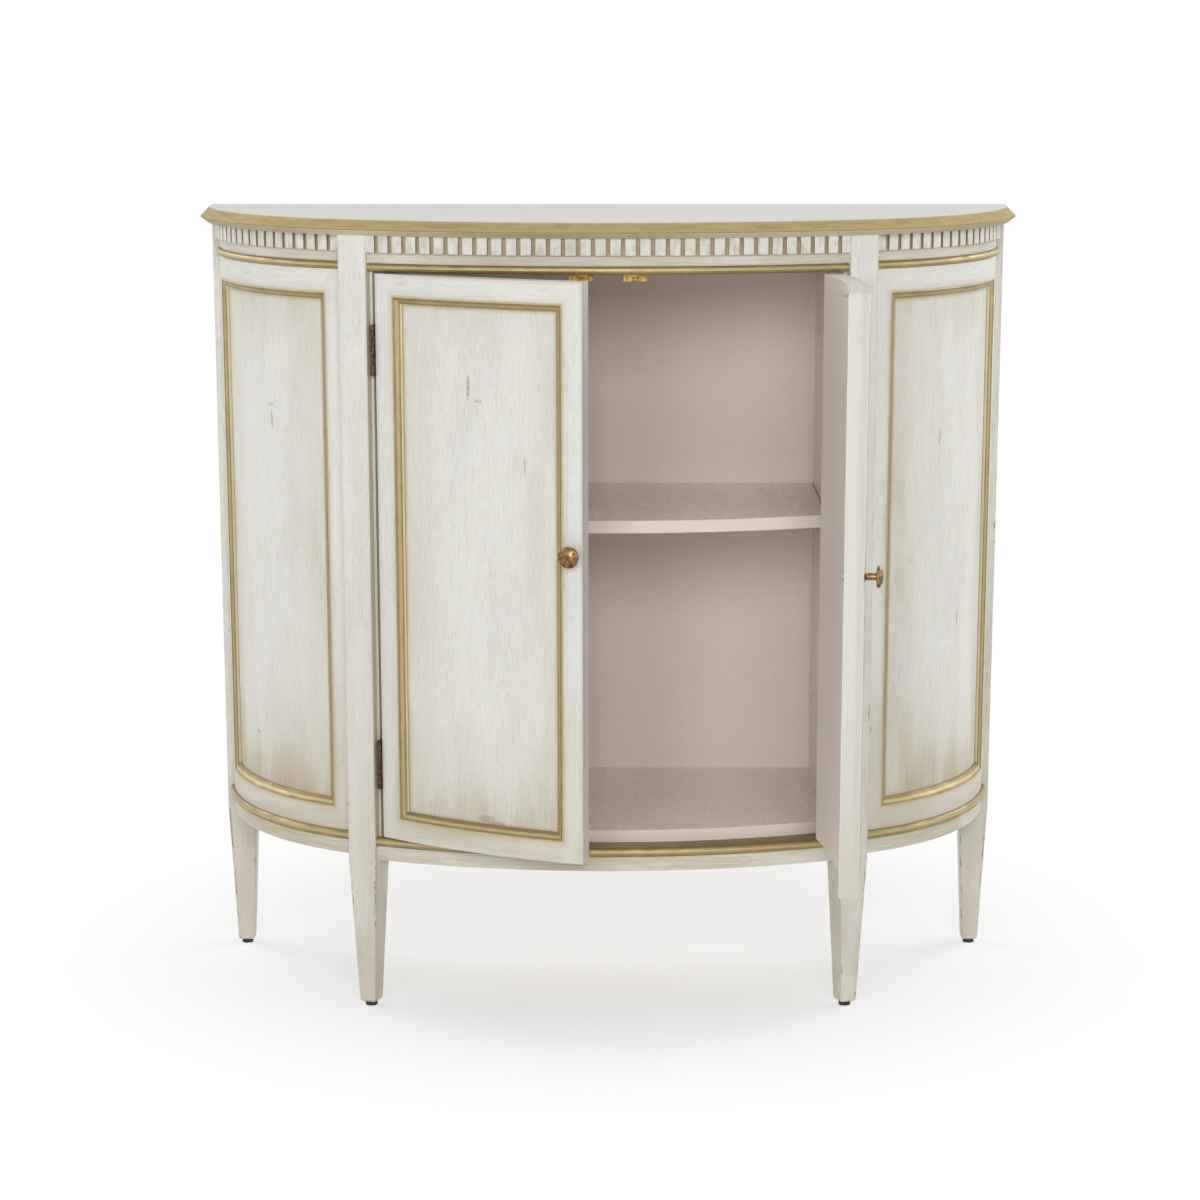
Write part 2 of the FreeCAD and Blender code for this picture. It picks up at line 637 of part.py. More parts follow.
def door_pair(name, piece):
    """A piece of the right door, swung open on its hinges, and the same piece of the left door."""
    for side, shut, sign, angle in (("right_", piece, "", "right_open"),
                                    ("left_", mirror("left_shut_" + name, piece), "-", "(-left_open)")):
        x = "(%s(%s))" % (sign, AXIS[0])
        y = "(%s)" % AXIS[1]
        swung = group(side + name, [shut])
        place(swung, "%s - %s * cos(%s) + %s * sin(%s)" % (x, x, angle, y, angle),
              "%s - %s * sin(%s) - %s * cos(%s)" % (y, x, angle, y, angle), "0", angle)
        node(side + name, swung)


def turned(name, corners, x, y, z, turn, arcs={}):
    """A round piece that lies along the direction turn. The corners of its section are (along, radius)."""
    body = new_body(name)
    section = outline(body, name + "_section", "XZ_Plane", corners, arcs)
    revolve(body, name + "_turning", section, "360", axis="H_Axis")
    place(body, x, y, z, turn)
    return body


def make_screws(name, x, turn):
    """Three countersunk screws in each of a door's two hinges. x is the leaves' outer face, from the post."""
    corners = [
        ("0", "0"), ("0", "screw_head_radius"), ("leaf_thickness", "screw_radius"),
        ("screw_length", "screw_radius"), ("screw_length", "0"),
    ]
    spot = at_post(x, FACE_Y + " + leaf_width / 2")
    return [
        turned("%s_%d%d" % (name, hinge, index), corners, spot[0], spot[1],
               "%s + hinge_height * %d / 6" % (low, 2 * index + 1), turn)
        for hinge, low in enumerate(HINGE_LOWS)
        for index in range(3)
    ]


def make_leaves(name, plate_x, knuckles, screws):
    """One leaf of each of a door's two hinges, with the knuckles of these numbers, bored for the pin."""
    step = "hinge_height / 5"
    axis_x, axis_y = AXIS
    leaves = []
    for hinge, low in enumerate(HINGE_LOWS):
        label = "%s_%d" % (name, hinge)
        plate = post_box(label + "_plate", plate_x, FACE_Y, low,
                         "leaf_thickness", "leaf_width", "hinge_height")
        pieces = [plate]
        for knuckle in knuckles:
            bottom = "(%s + %d * %s + knuckle_gap / 2)" % (low, knuckle, step)
            top = "(%s + %d * %s - knuckle_gap / 2)" % (low, knuckle + 1, step)
            barrel = "%s_knuckle_%d" % (label, knuckle)
            pieces.append(upright(barrel, axis_x, axis_y, bottom, top, "barrel_radius"))
            pieces.append(post_box("%s_web_%d" % (label, knuckle), plate_x, AXIS_LOCAL[1], bottom,
                                   "leaf_thickness", AXIS_OUT, step + " - knuckle_gap"))
        bore = upright(label + "_bore", axis_x, axis_y, low + " - cut_past",
                       low + " + hinge_height + cut_past", "pin_radius + pin_play")
        bored = cut(label + "_bored", fuse(label + "_solid", pieces), [bore])
        leaves.append(cut(label, bored, screws[3 * hinge:3 * hinge + 3]))
    return leaves


def make_case_hinges():
    """The jamb strip on the right front post, and its hinge leaves, pins and screws. Gives the screws.

    The screws go through the strip into the post, so they cut both.
    """
    leaf_x = "(-post_width / 2 - jamb_thickness - leaf_thickness)"
    screws = make_screws("post_screw", leaf_x, "post_angle")
    leaves = make_leaves("post_leaf", leaf_x, (0, 2, 4), screws)
    pins = [upright("hinge_pin_%d" % i, AXIS[0], AXIS[1], low, low + " + hinge_height", "pin_radius")
            for i, low in enumerate(HINGE_LOWS)]
    strip = post_box("jamb_strip", "-post_width / 2 - jamb_thickness", FACE_Y + " + jamb_set_back", BASE_HIGH,
                     "jamb_thickness", "door_thickness - jamb_set_back", FRIEZE_LOW + " - " + BASE_HIGH)
    node("hinge_jambs", group("hinge_jambs", both_sides([cut("right_jamb", strip, screws)])))
    node("case_hinge_leaves", group("case_hinge_leaves", both_sides(leaves)))
    node("case_hinge_screws", group("case_hinge_screws", both_sides(screws)))
    node("hinge_pins", group("hinge_pins", both_sides(pins)))
    return screws


def at_front(angle, reach, along):
    """A point at a distance from the centre of the front curve, and along the curve from an angle."""
    x = "(%s) * sin(%s) + (%s) * cos(%s)" % (reach, angle, along, angle)
    y = "%s - (%s) * cos(%s) + (%s) * sin(%s)" % (FRONT[1], reach, angle, along, angle)
    return x, y


def front_box(name, angle, reach, along, z, length, width, height):
    corner = at_front(angle, reach, along)
    return box(name, corner[0], corner[1], z, length, width, height, "(%s) - 90" % angle)


DOOR_INNER = "(front_radius - door_thickness)"
CATCH_ANGLE = degrees("catch_middle", "front_radius")
CATCH_LOW = "(%s - catch_height)" % FRIEZE_LOW
STRIKE_BACK = "(%s - seat_gap - strike_thickness)" % DOOR_INNER


def make_catch():
    reach = "(%s - catch_gap - catch_depth)" % STRIKE_BACK
    case = front_box("catch_case", CATCH_ANGLE, reach, "-catch_width / 2", CATCH_LOW,
                     "catch_depth", "catch_width", "catch_height")
    slot = front_box("catch_slot_room", CATCH_ANGLE, "%s - catch_gap - catch_slot_depth" % STRIKE_BACK,
                     "-catch_slot / 2", CATCH_LOW + " - cut_past", "catch_depth", "catch_slot",
                     "catch_slot_height + cut_past")
    node("door_catches", group("door_catches", both_sides([cut("right_catch", case, [slot])])))


def make_strike():
    plate = front_box("strike_plate", CATCH_ANGLE, STRIKE_BACK, "-strike_width / 2",
                      DOOR_HIGH + " - strike_height", "strike_thickness", "strike_width", "strike_height")
    tongue_low = CATCH_LOW + " + catch_slot_height / 2 - tongue_height / 2"
    tongue = front_box("strike_tongue", CATCH_ANGLE, STRIKE_BACK + " - tongue_length", "-tongue_width / 2",
                       tongue_low, "tongue_length", "tongue_width", "tongue_height")
    door_pair("strike_plate", fuse("right_strike", [plate, tongue]))


def make_knob():
    """The knob and the screw that holds it. Gives the hole that the screw needs in the door."""
    angle = degrees("meeting_gap / 2 + knob_edge", "front_radius")
    turn = "%s - 90" % angle
    neck = "(front_radius + knob_stem_length)"
    end = "(front_radius + knob_stem_length + knob_head_thickness)"
    grip = "(front_radius + bolt_grip)"
    corners = [
        ("front_radius", "bolt_radius"),
        ("front_radius", "knob_foot_radius"),
        ("front_radius + knob_stem_length / 5", "knob_stem_radius"),
        (neck, "knob_stem_radius"),
        (neck + " + knob_head_thickness / 6", "knob_head_radius * 0.95"),
        (neck + " + knob_head_thickness / 2", "knob_head_radius"),
        (end, "0"),
        (grip, "0"),
        (grip, "bolt_radius"),
    ]
    knob = turned("knob_body", corners, FRONT[0], FRONT[1], "knob_level", turn, {5: "knob_head_radius * 1.4"})
    seat = "(%s - seat_gap)" % DOOR_INNER
    corners = [
        (seat + " - bolt_head_height", "0"),
        (seat + " - bolt_head_height", "bolt_head_radius"),
        (seat, "bolt_head_radius"),
        (seat, "bolt_radius"),
        (grip, "bolt_radius"),
        (grip, "0"),
    ]
    bolt = turned("knob_bolt", corners, FRONT[0], FRONT[1], "knob_level", turn)
    hole = turned("knob_hole", rectangle(DOOR_INNER + " - cut_past", "0", "front_radius + cut_past",
                                         "bolt_radius + bolt_play"), FRONT[0], FRONT[1], "knob_level", turn)
    door_pair("knob", knob)
    door_pair("knob_screw", bolt)
    return hole


def make_doors():
    leaf_x = "(-post_width / 2 - hinge_gap)"
    screws = make_screws("door_screw", leaf_x + " + leaf_thickness", "post_angle + 180")
    leaves = make_leaves("door_leaf", leaf_x, (1, 3), screws)
    hole = make_knob()
    meeting = box("meeting_zone", "-meeting_gap / 2", "-2 * case_depth", "0",
                  "meeting_gap", "2 * case_depth", "total_height")
    start = degrees("meeting_gap / 2 + meeting_stile", "front_radius")
    end = "(post_angle - %s)" % degrees("post_width / 2 + hinge_gap + hinge_stile", "front_radius")
    stiles, rails, panel, moulding = make_frame(
        "right_door", FRONT, "front_radius", "door_thickness", DOOR_INNER, "door_rail", DOOR_LOW, DOOR_HIGH,
        start, end, "0", "post_angle", ([meeting, hole], [door_zone]))
    stiles[1] = cut("right_door_hinge_stile", stiles[1], screws)
    door_pair("door_stiles", group("right_door_stile_pair", stiles))
    door_pair("door_rails", rails)
    door_pair("door_panel", panel)
    door_pair("door_moulding", moulding)
    door_pair("door_hinge_leaves", group("door_leaves", leaves))
    door_pair("door_hinge_screws", group("door_screws", screws))
    make_strike()


def make_back():
    half = "(case_half_width - post_width)"
    panel = box("back_panel", "-" + half, PANEL_BACK, "apron_bottom",
                "2 * " + half, "back_thickness", TOP_LOW + " - apron_bottom")
    node("back_panel", panel)
    rails = [
        box("back_rail_%d" % i, "-" + half, PANEL_BACK + " - back_rail_thickness", low,
            "2 * " + half, "back_rail_thickness", "(%s) - (%s)" % (high, low))
        for i, (low, high) in enumerate((("apron_bottom", BASE_HIGH), (FRIEZE_LOW, TOP_LOW)))
    ]
    node("back_rails", group("back_rails", rails))


def bowed_board(name, blank, low, high, set_back, cutters):
    """A board that follows the front of the case at a distance behind it and stops at the back panel."""
    disc = upright(name + "_front", FRONT[0], FRONT[1], low, high, "front_radius - %s" % set_back)
    behind = box(name + "_behind", "-case_half_width", PANEL_BACK, low,
                 "2 * case_half_width", "4 * case_depth", "(%s) - (%s)" % (high, low))
    return cut(name, common(name + "_bowed", blank, disc), [behind] + cutters)


def make_inside(posts):
    lobe = upright("floor_lobe", SIDE[0], SIDE[1], BASE_HIGH, FLOOR_HIGH,
                   "side_radius - member_thickness - fit_gap")
    half = "(partition_inner + partition_thickness)"
    middle = box("floor_middle", "-" + half, "-2 * case_depth", BASE_HIGH,
                 "2 * " + half, "4 * case_depth", "floor_thickness")
    blank = fuse("floor_blank", both_sides([lobe]) + [middle])
    node("bottom_board", bowed_board("bottom_board", blank, BASE_HIGH, FLOOR_HIGH, "floor_set_back", posts))

    shelf_low = "(shelf_level - shelf_thickness)"
    shelf_half = "(partition_inner - shelf_gap)"
    blank = box("shelf_blank", "-" + shelf_half, "-2 * case_depth", shelf_low,
                "2 * " + shelf_half, "4 * case_depth", "shelf_thickness")
    node("shelf", bowed_board("shelf", blank, shelf_low, "shelf_level", "shelf_set_back", []))

    pins = []
    holes = []
    for i, y in enumerate((PANEL_BACK + " - support_inset", "partition_front + support_inset")):
        z = shelf_low + " - support_radius"
        start = "partition_inner - support_out"
        pin_section = rectangle("0", "0", "support_out + support_in", "support_radius")
        pins.append(turned("support_%d" % i, pin_section, start, y, z, "0"))
        holes.append(turned("support_hole_%d" % i, rectangle("0", "0", "2 * support_in + support_play",
                                                             "support_radius + support_play"),
                            "partition_inner - support_in", y, z, "0"))
    node("shelf_supports", group("shelf_supports", both_sides(pins)))

    board = box("partition_board", "partition_inner", "partition_front", FLOOR_HIGH, "partition_thickness",
                PANEL_BACK + " - partition_front", TOP_LOW + " - " + FLOOR_HIGH)
    fitted = cut("partition_at_post", board, [posts[0]] + holes)
    pair("partition", cut("right_partition", fitted, [nodes["front_frieze_rail"], nodes["back_rails"]]))

    blocks = [
        box("block_back", "partition_inner / 2", PANEL_BACK + " - back_rail_thickness - block_width",
            TOP_LOW + " - block_width", "block_length", "block_width", "block_width"),
        box("block_side", "partition_inner - block_width", "partition_front / 2 - block_length / 2",
            TOP_LOW + " - block_width", "block_width", "block_length", "block_width"),
    ]
    node("top_blocks", group("top_blocks", both_sides(blocks)))


make_top()
screws = make_case_hinges()
front_post = make_post("front_post_wood", "post_x", "post_y", "post_angle")
back_post = make_post("back_post_wood", BACK_X, BACK_Y, "0")
pair("front_post", cut("right_front_post", front_post, screws))
pair("back_post", back_post)
make_glides()
make_mouldings()
make_sides()
make_back()
make_inside(both_sides([front_post, back_post]))
make_catch()
make_doors()
doc.recompute()

for item in doc.Objects:
    if "Invalid" in item.State or "Error" in item.State:
        raise RuntimeError("%s is %s" % (item.Name, item.State))
os.makedirs("parts", exist_ok=True)
for name, item in nodes.items():
    if item.Shape.isNull() or not item.Shape.isValid() or not item.Shape.Solids:
        raise RuntimeError("%s has no sound shape" % name)
    item.Shape.exportStep("parts/%s.step" % name)
print(len(nodes), "nodes written")
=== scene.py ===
# %% [markdown]
# # A painted half-round cabinet
#
# This lesson dresses a demilune cabinet: cream paint rubbed thin over a tan ground, gilded mouldings and
# a taupe inside. The joiner's work comes in as a finished frame, one object for each piece of wood or
# brass, so the lesson is about finishes. Each finish is built from shader nodes that read the piece's
# own coordinates.

# %% Load the frame
import json
import math
from collections import namedtuple

import bpy
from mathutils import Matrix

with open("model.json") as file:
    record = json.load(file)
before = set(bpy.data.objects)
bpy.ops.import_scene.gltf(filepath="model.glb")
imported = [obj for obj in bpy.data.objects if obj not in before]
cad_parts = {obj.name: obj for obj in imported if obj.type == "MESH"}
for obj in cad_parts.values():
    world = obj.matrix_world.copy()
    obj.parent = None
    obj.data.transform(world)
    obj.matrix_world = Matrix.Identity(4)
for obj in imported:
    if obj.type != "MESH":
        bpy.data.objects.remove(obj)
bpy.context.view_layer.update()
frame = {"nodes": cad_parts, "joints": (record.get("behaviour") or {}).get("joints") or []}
bpy.ops.object.select_all(action="DESELECT")

# %% [markdown]
# ## Sums with sockets
#
# A painter thinks "rub back the edges, but only in patches". As nodes that is a product of two masks.
# Drawing each Math node by hand hides the thought, so a small class lets Python's own signs add the
# nodes, and one method adds every other kind of node.


# %% Sockets that do sums
class Signal:
    """A socket that can stand in a sum."""

    def __init__(self, nodes, socket):
        self.nodes = nodes
        self.socket = socket

    def sum(self, operation, first, second):
        return self.nodes.node("ShaderNodeMath", {"operation": operation}, {0: first, 1: second})

    def __add__(self, other):
        return self.sum("ADD", self, other)

    def __sub__(self, other):
        return self.sum("SUBTRACT", self, other)

    def __rsub__(self, other):
        return self.sum("SUBTRACT", other, self)

    def __mul__(self, other):
        return self.sum("MULTIPLY", self, other)

    def __truediv__(self, other):
        return self.sum("DIVIDE", self, other)

    def __abs__(self):
        return self.sum("ABSOLUTE", self, 0)

    def least(self, other):
        return self.sum("MINIMUM", self, other)

    def most(self, other):
        return self.sum("MAXIMUM", self, other)


class Nodes:
    """A node tree that grows one node at a time."""

    def __init__(self, tree):
        self.tree = tree

    def node(self, kind, settings={}, sockets={}, output=0):
        """Add a node, change its settings, then fill or link its sockets. Gives one of its outputs."""
        node = self.tree.nodes.new(kind)
        for name, value in settings.items():
            setattr(node, name, value)
        for name, value in sockets.items():
            if isinstance(value, Signal):
                self.tree.links.new(value.socket, node.inputs[name])
            else:
                node.inputs[name].default_value = value
        return Signal(self, node.outputs[output])

    def step(self, signal, start, end, low=0.0, high=1.0):
        """A soft step: low where the signal is at start, high where it is at end."""
        sockets = {"Value": signal, "From Min": start, "From Max": end, "To Min": low, "To Max": high}
        return self.node("ShaderNodeMapRange", {"interpolation_type": "SMOOTHSTEP"}, sockets)

    def seen(self):
        """1 for what the camera sees, also in a reflection or through glass, and 0 for light on its way."""
        rays = [self.node("ShaderNodeLightPath", output="Is %s Ray" % kind)
                for kind in ("Camera", "Glossy", "Transmission")]
        return rays[0].most(rays[1]).most(rays[2])


# %% [markdown]
# ## A finish
#
# A finish is one material. It starts as a Principled shader with its fixed values, and collects the
# nodes that vary over the surface. The helpers below are the painter's few moves: noise stretched along
# the brush, a soft step from one value to another, and one colour laid over another through a mask.


# %% One material and its nodes
class Finish(Nodes):
    """A material with a Principled shader, and signals for the piece's own coordinates in metres."""

    def __init__(self, name, roughness=0.5, gloss=0.5, metallic=0.0):
        self.material = bpy.data.materials.new(name)
        self.material.use_nodes = True
        super().__init__(self.material.node_tree)
        self.shader = self.tree.nodes["Principled BSDF"]
        self.shader.inputs["Roughness"].default_value = roughness
        self.shader.inputs["Specular IOR Level"].default_value = gloss
        self.shader.inputs["Metallic"].default_value = metallic
        place = self.node("ShaderNodeTexCoord", output="Object")
        self.x = self.node("ShaderNodeSeparateXYZ", {}, {0: place}, "X")
        self.y = self.node("ShaderNodeSeparateXYZ", {}, {0: place}, "Y")
        self.z = self.node("ShaderNodeSeparateXYZ", {}, {0: place}, "Z")

    def noise(self, across, along, depth, detail=3.0, roughness=0.55):
        """Noise from 0 to 1 over three signals, each already multiplied by its own frequency."""
        place = self.node("ShaderNodeCombineXYZ", {}, {0: across, 1: along, 2: depth})
        sockets = {"Vector": place, "Scale": 1.0, "Detail": detail, "Roughness": roughness}
        return self.node("ShaderNodeTexNoise", {"noise_dimensions": "3D"}, sockets)

    def lay(self, mask, under, over):
        """The colour over, laid on the colour under, where the mask is 1."""
        settings = {"data_type": "RGBA", "clamp_factor": True}
        return self.node("ShaderNodeMix", settings, {0: mask, 6: under, 7: over}, 2)

    def show(self, colour, roughness=None, height=None, depth=0.0005, metallic=None):
        """Link the results to the shader. The height is 0 to 1, and depth is what 1 means, in metres."""
        self.tree.links.new(colour.socket, self.shader.inputs["Base Color"])
        for name, signal in (("Roughness", roughness), ("Metallic", metallic)):
            if signal is not None:
                self.tree.links.new(signal.socket, self.shader.inputs[name])
        if height is not None:
            bump = self.node("ShaderNodeBump", {}, {"Strength": 0.6, "Distance": depth, "Height": height})
            self.tree.links.new(bump.socket, self.shader.inputs["Normal"])
        return self.material


def tint(red, green, blue):
    """A colour as it looks on a screen, 0 to 255, in the linear form that shaders use."""
    linear = [c / 3294.6 if c <= 10.3 else ((c / 255 + 0.055) / 1.055) ** 2.4 for c in (red, green, blue)]
    return (*linear, 1.0)


def put(material, *nodes):
    """Give the material to these pieces of the frame."""
    for node in nodes:
        for slot in frame["nodes"][node].material_slots:
            slot.material = material


print("helpers ready: sums with sockets, noise, step, lay, show and put")

# %% [markdown]
# ## Where a piece bends
#
# The front, the doors and the sides are arcs in plan. Paint runs and wear follow those arcs, so the
# finishes need coordinates that bend with them: a length round the curve, the height, and how far a
# point stands out from the face. A door stands open in the rest pose, so the middle of its curve has
# swung about its hinge too.

# %% The bowed faces
Bow = namedtuple("Bow", "x y radius turn")

FRONT = Bow(0.0, 0.384, 0.736, 0.0)
SIDE_X, SIDE_Y, SIDE_RADIUS = 0.17080, -0.009, 0.29310
SIDES = {"left": Bow(-SIDE_X, SIDE_Y, SIDE_RADIUS, 0.0), "right": Bow(SIDE_X, SIDE_Y, SIDE_RADIUS, 0.0)}
THREE_LENGTHS = (("front", FRONT), ("left", SIDES["left"]), ("right", SIDES["right"]))


def swung(joint):
    """The front's curve as the door on this joint carries it, in the rest pose."""
    opening = math.radians(-joint["range_deg"][0]) * joint["axis"][2]
    hinge_x, hinge_y = joint["pos_m"][0], joint["pos_m"][1]
    away_x, away_y = FRONT.x - hinge_x, FRONT.y - hinge_y
    x = hinge_x + away_x * math.cos(opening) - away_y * math.sin(opening)
    y = hinge_y + away_x * math.sin(opening) + away_y * math.cos(opening)
    return Bow(x, y, FRONT.radius, math.degrees(opening))


DOORS = {joint["child"].split("_")[0]: swung(joint) for joint in frame["joints"]}
for name, bow in DOORS.items():
    print(name, "door: curve's middle at %.4f, %.4f, turned %.1f degrees" % (bow.x, bow.y, bow.turn))


# %% Coordinates round a bow
def round_the_bow(finish, bow):
    """Signals for the length round the curve from its middle, and the distance in front of its face."""
    turn = math.radians(bow.turn)
    dx = finish.x - bow.x
    dy = finish.y - bow.y
    ahead = dx * math.sin(turn) - dy * math.cos(turn)
    sideways = dx * math.cos(turn) + dy * math.sin(turn)
    length = finish.node("ShaderNodeMath", {"operation": "ARCTAN2"}, {0: sideways, 1: ahead}) * bow.radius
    flat = finish.node("ShaderNodeCombineXYZ", {}, {0: dx, 1: dy})
    reach = finish.node("ShaderNodeVectorMath", {"operation": "LENGTH"}, {0: flat}, "Value")
    return length, reach - bow.radius


# %% [markdown]
# ## The openings
#
# Each door and each side frames one panel. The gilded moulding lines the opening. Glaze settles against
# it, on the panel inside and on the wood outside, so both need the distance to the moulding. Lengths are
# in metres, and heights are above the floor.

# %% Panel openings and levels
MOULDING = 0.0095
DENTIL = 0.019
APRON_LOW, BASE_LOW, BASE_HIGH = 0.1805, 0.1975, 0.2080
FRIEZE_LOW, BEAD_HIGH = 0.8575, 0.8665
TOP_LOW, SLOPE_LOW, TOP_HIGH = 0.897, 0.903, 0.914
JOINT_START, JOINT_END = SIDE_RADIUS * math.radians(25.2), SIDE_RADIUS * math.radians(24.9)
Opening = namedtuple("Opening", "start end low high")

DOOR_SPAN = Opening(0.0242, FRONT.radius * math.radians(18.726), 0.2332, 0.8315)
DOOR_EDGES = Opening(0.0012, FRONT.radius * math.radians(20.688), 0.2092, 0.8555)
SIDE_SPAN = Opening(SIDE_RADIUS * math.radians(30.40), SIDE_RADIUS * math.radians(77.75), 0.2340, 0.8315)


def on_side(side, span):
    """The right side's opening, or its mirror image for the left."""
    if side == "right":
        return span
    return Opening(-span.end, -span.start, span.low, span.high)


def inside(finish, length, span):
    """How far a point is inside an opening. Outside, the distance is negative."""
    middle, half = (span.start + span.end) / 2, (span.end - span.start) / 2
    level, reach = (span.low + span.high) / 2, (span.high - span.low) / 2
    return (half - abs(length - middle)).least(reach - abs(finish.z - level))


for name, span in (("door", DOOR_SPAN), ("side", SIDE_SPAN)):
    print("%s opening: %.0f mm wide" % (name, 1000 * (span.end - span.start)))

# %% [markdown]
# ## The cream paint
#
# The real finish is several thin coats: a tan ground, brushed cream with cooler and warmer streaks, a
# yellow-grey glaze wiped off the flats and left in the corners, and places rubbed back to the ground. An
# image of real paint would be quick, but it would repeat and show its seams. Noise stretched along the
# brush has no seams and any scale.

# %% Colours of the coats
CREAM = tint(226, 225, 219)
BRIGHT_CREAM = tint(236, 235, 230)
COOL_CREAM = tint(214, 213, 208)
WARM_CREAM = tint(217, 213, 199)
GLAZE_AND_SHADE = tint(190, 178, 150)
GROUND_AND_SHADE = tint(170, 152, 124)
DARK_GROUND = tint(126, 108, 84)
SCRATCH = tint(142, 132, 110)
GOLD = tint(160, 140, 92)
PALE_GOLD_AND_HIGHLIGHT = tint(188, 166, 114)
OLD_GOLD_AND_SHADE = tint(124, 105, 66)
HIGHLIGHT_CREAM_GOLD = tint(216, 204, 174)
TAUPE = tint(232, 219, 210)
DULL_TAUPE = tint(226, 213, 204)
TAUPE_PAINTED_LIGHTER = tint(240, 230, 219)
PAINT_GLOSS = 0.35


# %% Brushed cream
def brushed_cream(finish, across, along, depth, seed):
    """Streaks of cream. across, along and depth are signals in metres, with along the way of the brush."""
    streak = finish.noise(across * 480 + seed, along * 20, depth * 480, 4.0, 0.6)
    broad = finish.noise(across * 24 + seed, along * 5, depth * 24, 2.0)
    tick = finish.noise(across * 800, along * 60 + seed, depth * 800, 2.0, 0.7)
    colour = finish.lay(finish.step(broad, 0.4, 0.66) * 0.45, CREAM, COOL_CREAM)
    colour = finish.lay(finish.step(streak, 0.48, 0.74) * 0.8, colour, WARM_CREAM)
    ticks = finish.step(tick, 0.52, 0.74) * finish.step(broad, 0.25, 0.6, 0.35, 1.0) * 0.5
    colour = finish.lay(ticks, colour, GLAZE_AND_SHADE)
    colour = finish.lay(finish.step(tick, 0.44, 0.28) * 0.6, colour, BRIGHT_CREAM)
    return colour, streak, broad


def brushed(finish, colour, streak):
    """Show a brushed paint. Its streaks vary the sheen and stand up a little."""
    return finish.show(colour, finish.step(streak, 0.2, 0.8) * 0.12 + 0.5, streak, 0.0004)


def lay_glaze_and_shade(finish, colour, amount, cloud):
    """Glaze left on the paint, thicker and thinner with a noise. Raised towards the floor or under the top,
    it is partly painted shade.
    """
    return finish.lay(amount * finish.step(cloud, 0.3, 0.7, 0.6, 1.3), colour, GLAZE_AND_SHADE)


def rubbed(finish, colour, amount, patches):
    """Paint rubbed back to its ground where amount and the patches agree, darkest in the middle."""
    bare = amount * patches
    colour = finish.lay(finish.step(bare, 0.2, 0.7) * 0.75, colour, GROUND_AND_SHADE)
    return finish.lay(finish.step(bare, 0.65, 1.0) * 0.45, colour, DARK_GROUND)


def patches(finish, across, along, depth, seed, amount):
    """Ragged patches: more of them as amount goes from 0 to 1."""
    fine = finish.noise(across * 260 + seed, along * 60, depth * 260, 4.0, 0.7)
    where = finish.noise(across * 14 + seed, along * 11, depth * 14, 2.0)
    return finish.step(fine * 0.6 + where * 0.4, 0.66 - 0.16 * amount, 0.72 - 0.16 * amount)


# %% [markdown]
# ## Panels
#
# A panel is the quiet middle of a frame. Its glaze is heaviest against the moulding, and it grows darker
# towards the floor, partly with glaze and partly with painted shade. It carries a few short gouges along
# the grain. The gouges on each panel are listed: their length round the bow from the panel's middle,
# their height, and how wide and tall they are. A door is flat inside and taupe there, painted lighter than
# the inside's taupe as painted light, so whatever lies behind the thickness of the door gets that colour.

# %% Panel finish
Gouge = namedtuple("Gouge", "side level width height")


def gouged(finish, colour, length, middle, gouges):
    """Short scratches, each a soft oval broken up by noise."""
    if not gouges:
        return colour
    ragged = finish.step(finish.noise(length * 700, finish.z * 300, 0.0, 2.0, 0.6), 0.38, 0.62, 0.15, 1.0)
    for gouge in gouges:
        sideways = (length - (middle + gouge.side)) / gouge.width
        upwards = (finish.z - gouge.level) / gouge.height
        near = finish.step(sideways * sideways + upwards * upwards, 1.0, 0.15)
        colour = finish.lay(near * ragged * 0.75, colour, SCRATCH)
    return colour


def taupe_behind(finish, colour, out):
    """Taupe on the inner face of a door, which is about 21 mm behind its front, painted lighter than the
    inside's taupe as painted light.
    """
    return finish.lay(finish.step(out, -0.0202, -0.0208), colour, TAUPE_PAINTED_LIGHTER)


def panel_finish(name, bow, span, seed, gouges, haze_share):
    """haze_share is how much glaze is left towards the moulding. It also sets how much darker the panel
    grows towards the floor, partly glaze and partly painted shade, and how strong the stains at its foot
    are.
    """
    finish = Finish(name, gloss=PAINT_GLOSS)
    length, out = round_the_bow(finish, bow)
    colour, streak, broad = brushed_cream(finish, finish.x, finish.z, finish.y, seed)
    deep = inside(finish, length, span) - MOULDING
    # Darker towards the floor: partly glaze, partly painted shade where less light reaches low down.
    low = finish.step(finish.z, span.low + 0.16, span.low)
    glaze_and_low_shade = finish.step(deep, 0.07, 0.0) * haze_share + low * (0.14 + haze_share * 0.8)
    line = finish.step(deep, 0.005, 0.0) * 0.6
    colour = lay_glaze_and_shade(finish, colour, glaze_and_low_shade, broad)
    colour = lay_glaze_and_shade(finish, colour, line, streak)
    stain = finish.noise(length * 260 + seed, finish.z * 14, 0.0, 3.0, 0.6)
    foot = finish.step(finish.z, span.low + 0.075, span.low + 0.01)
    stained = foot * finish.step(stain, 0.45, 0.72) * (0.15 + haze_share * 0.7)
    colour = finish.lay(stained, colour, GROUND_AND_SHADE)
    colour = gouged(finish, colour, length, (span.start + span.end) / 2, gouges)
    return brushed(finish, taupe_behind(finish, colour, out), streak)


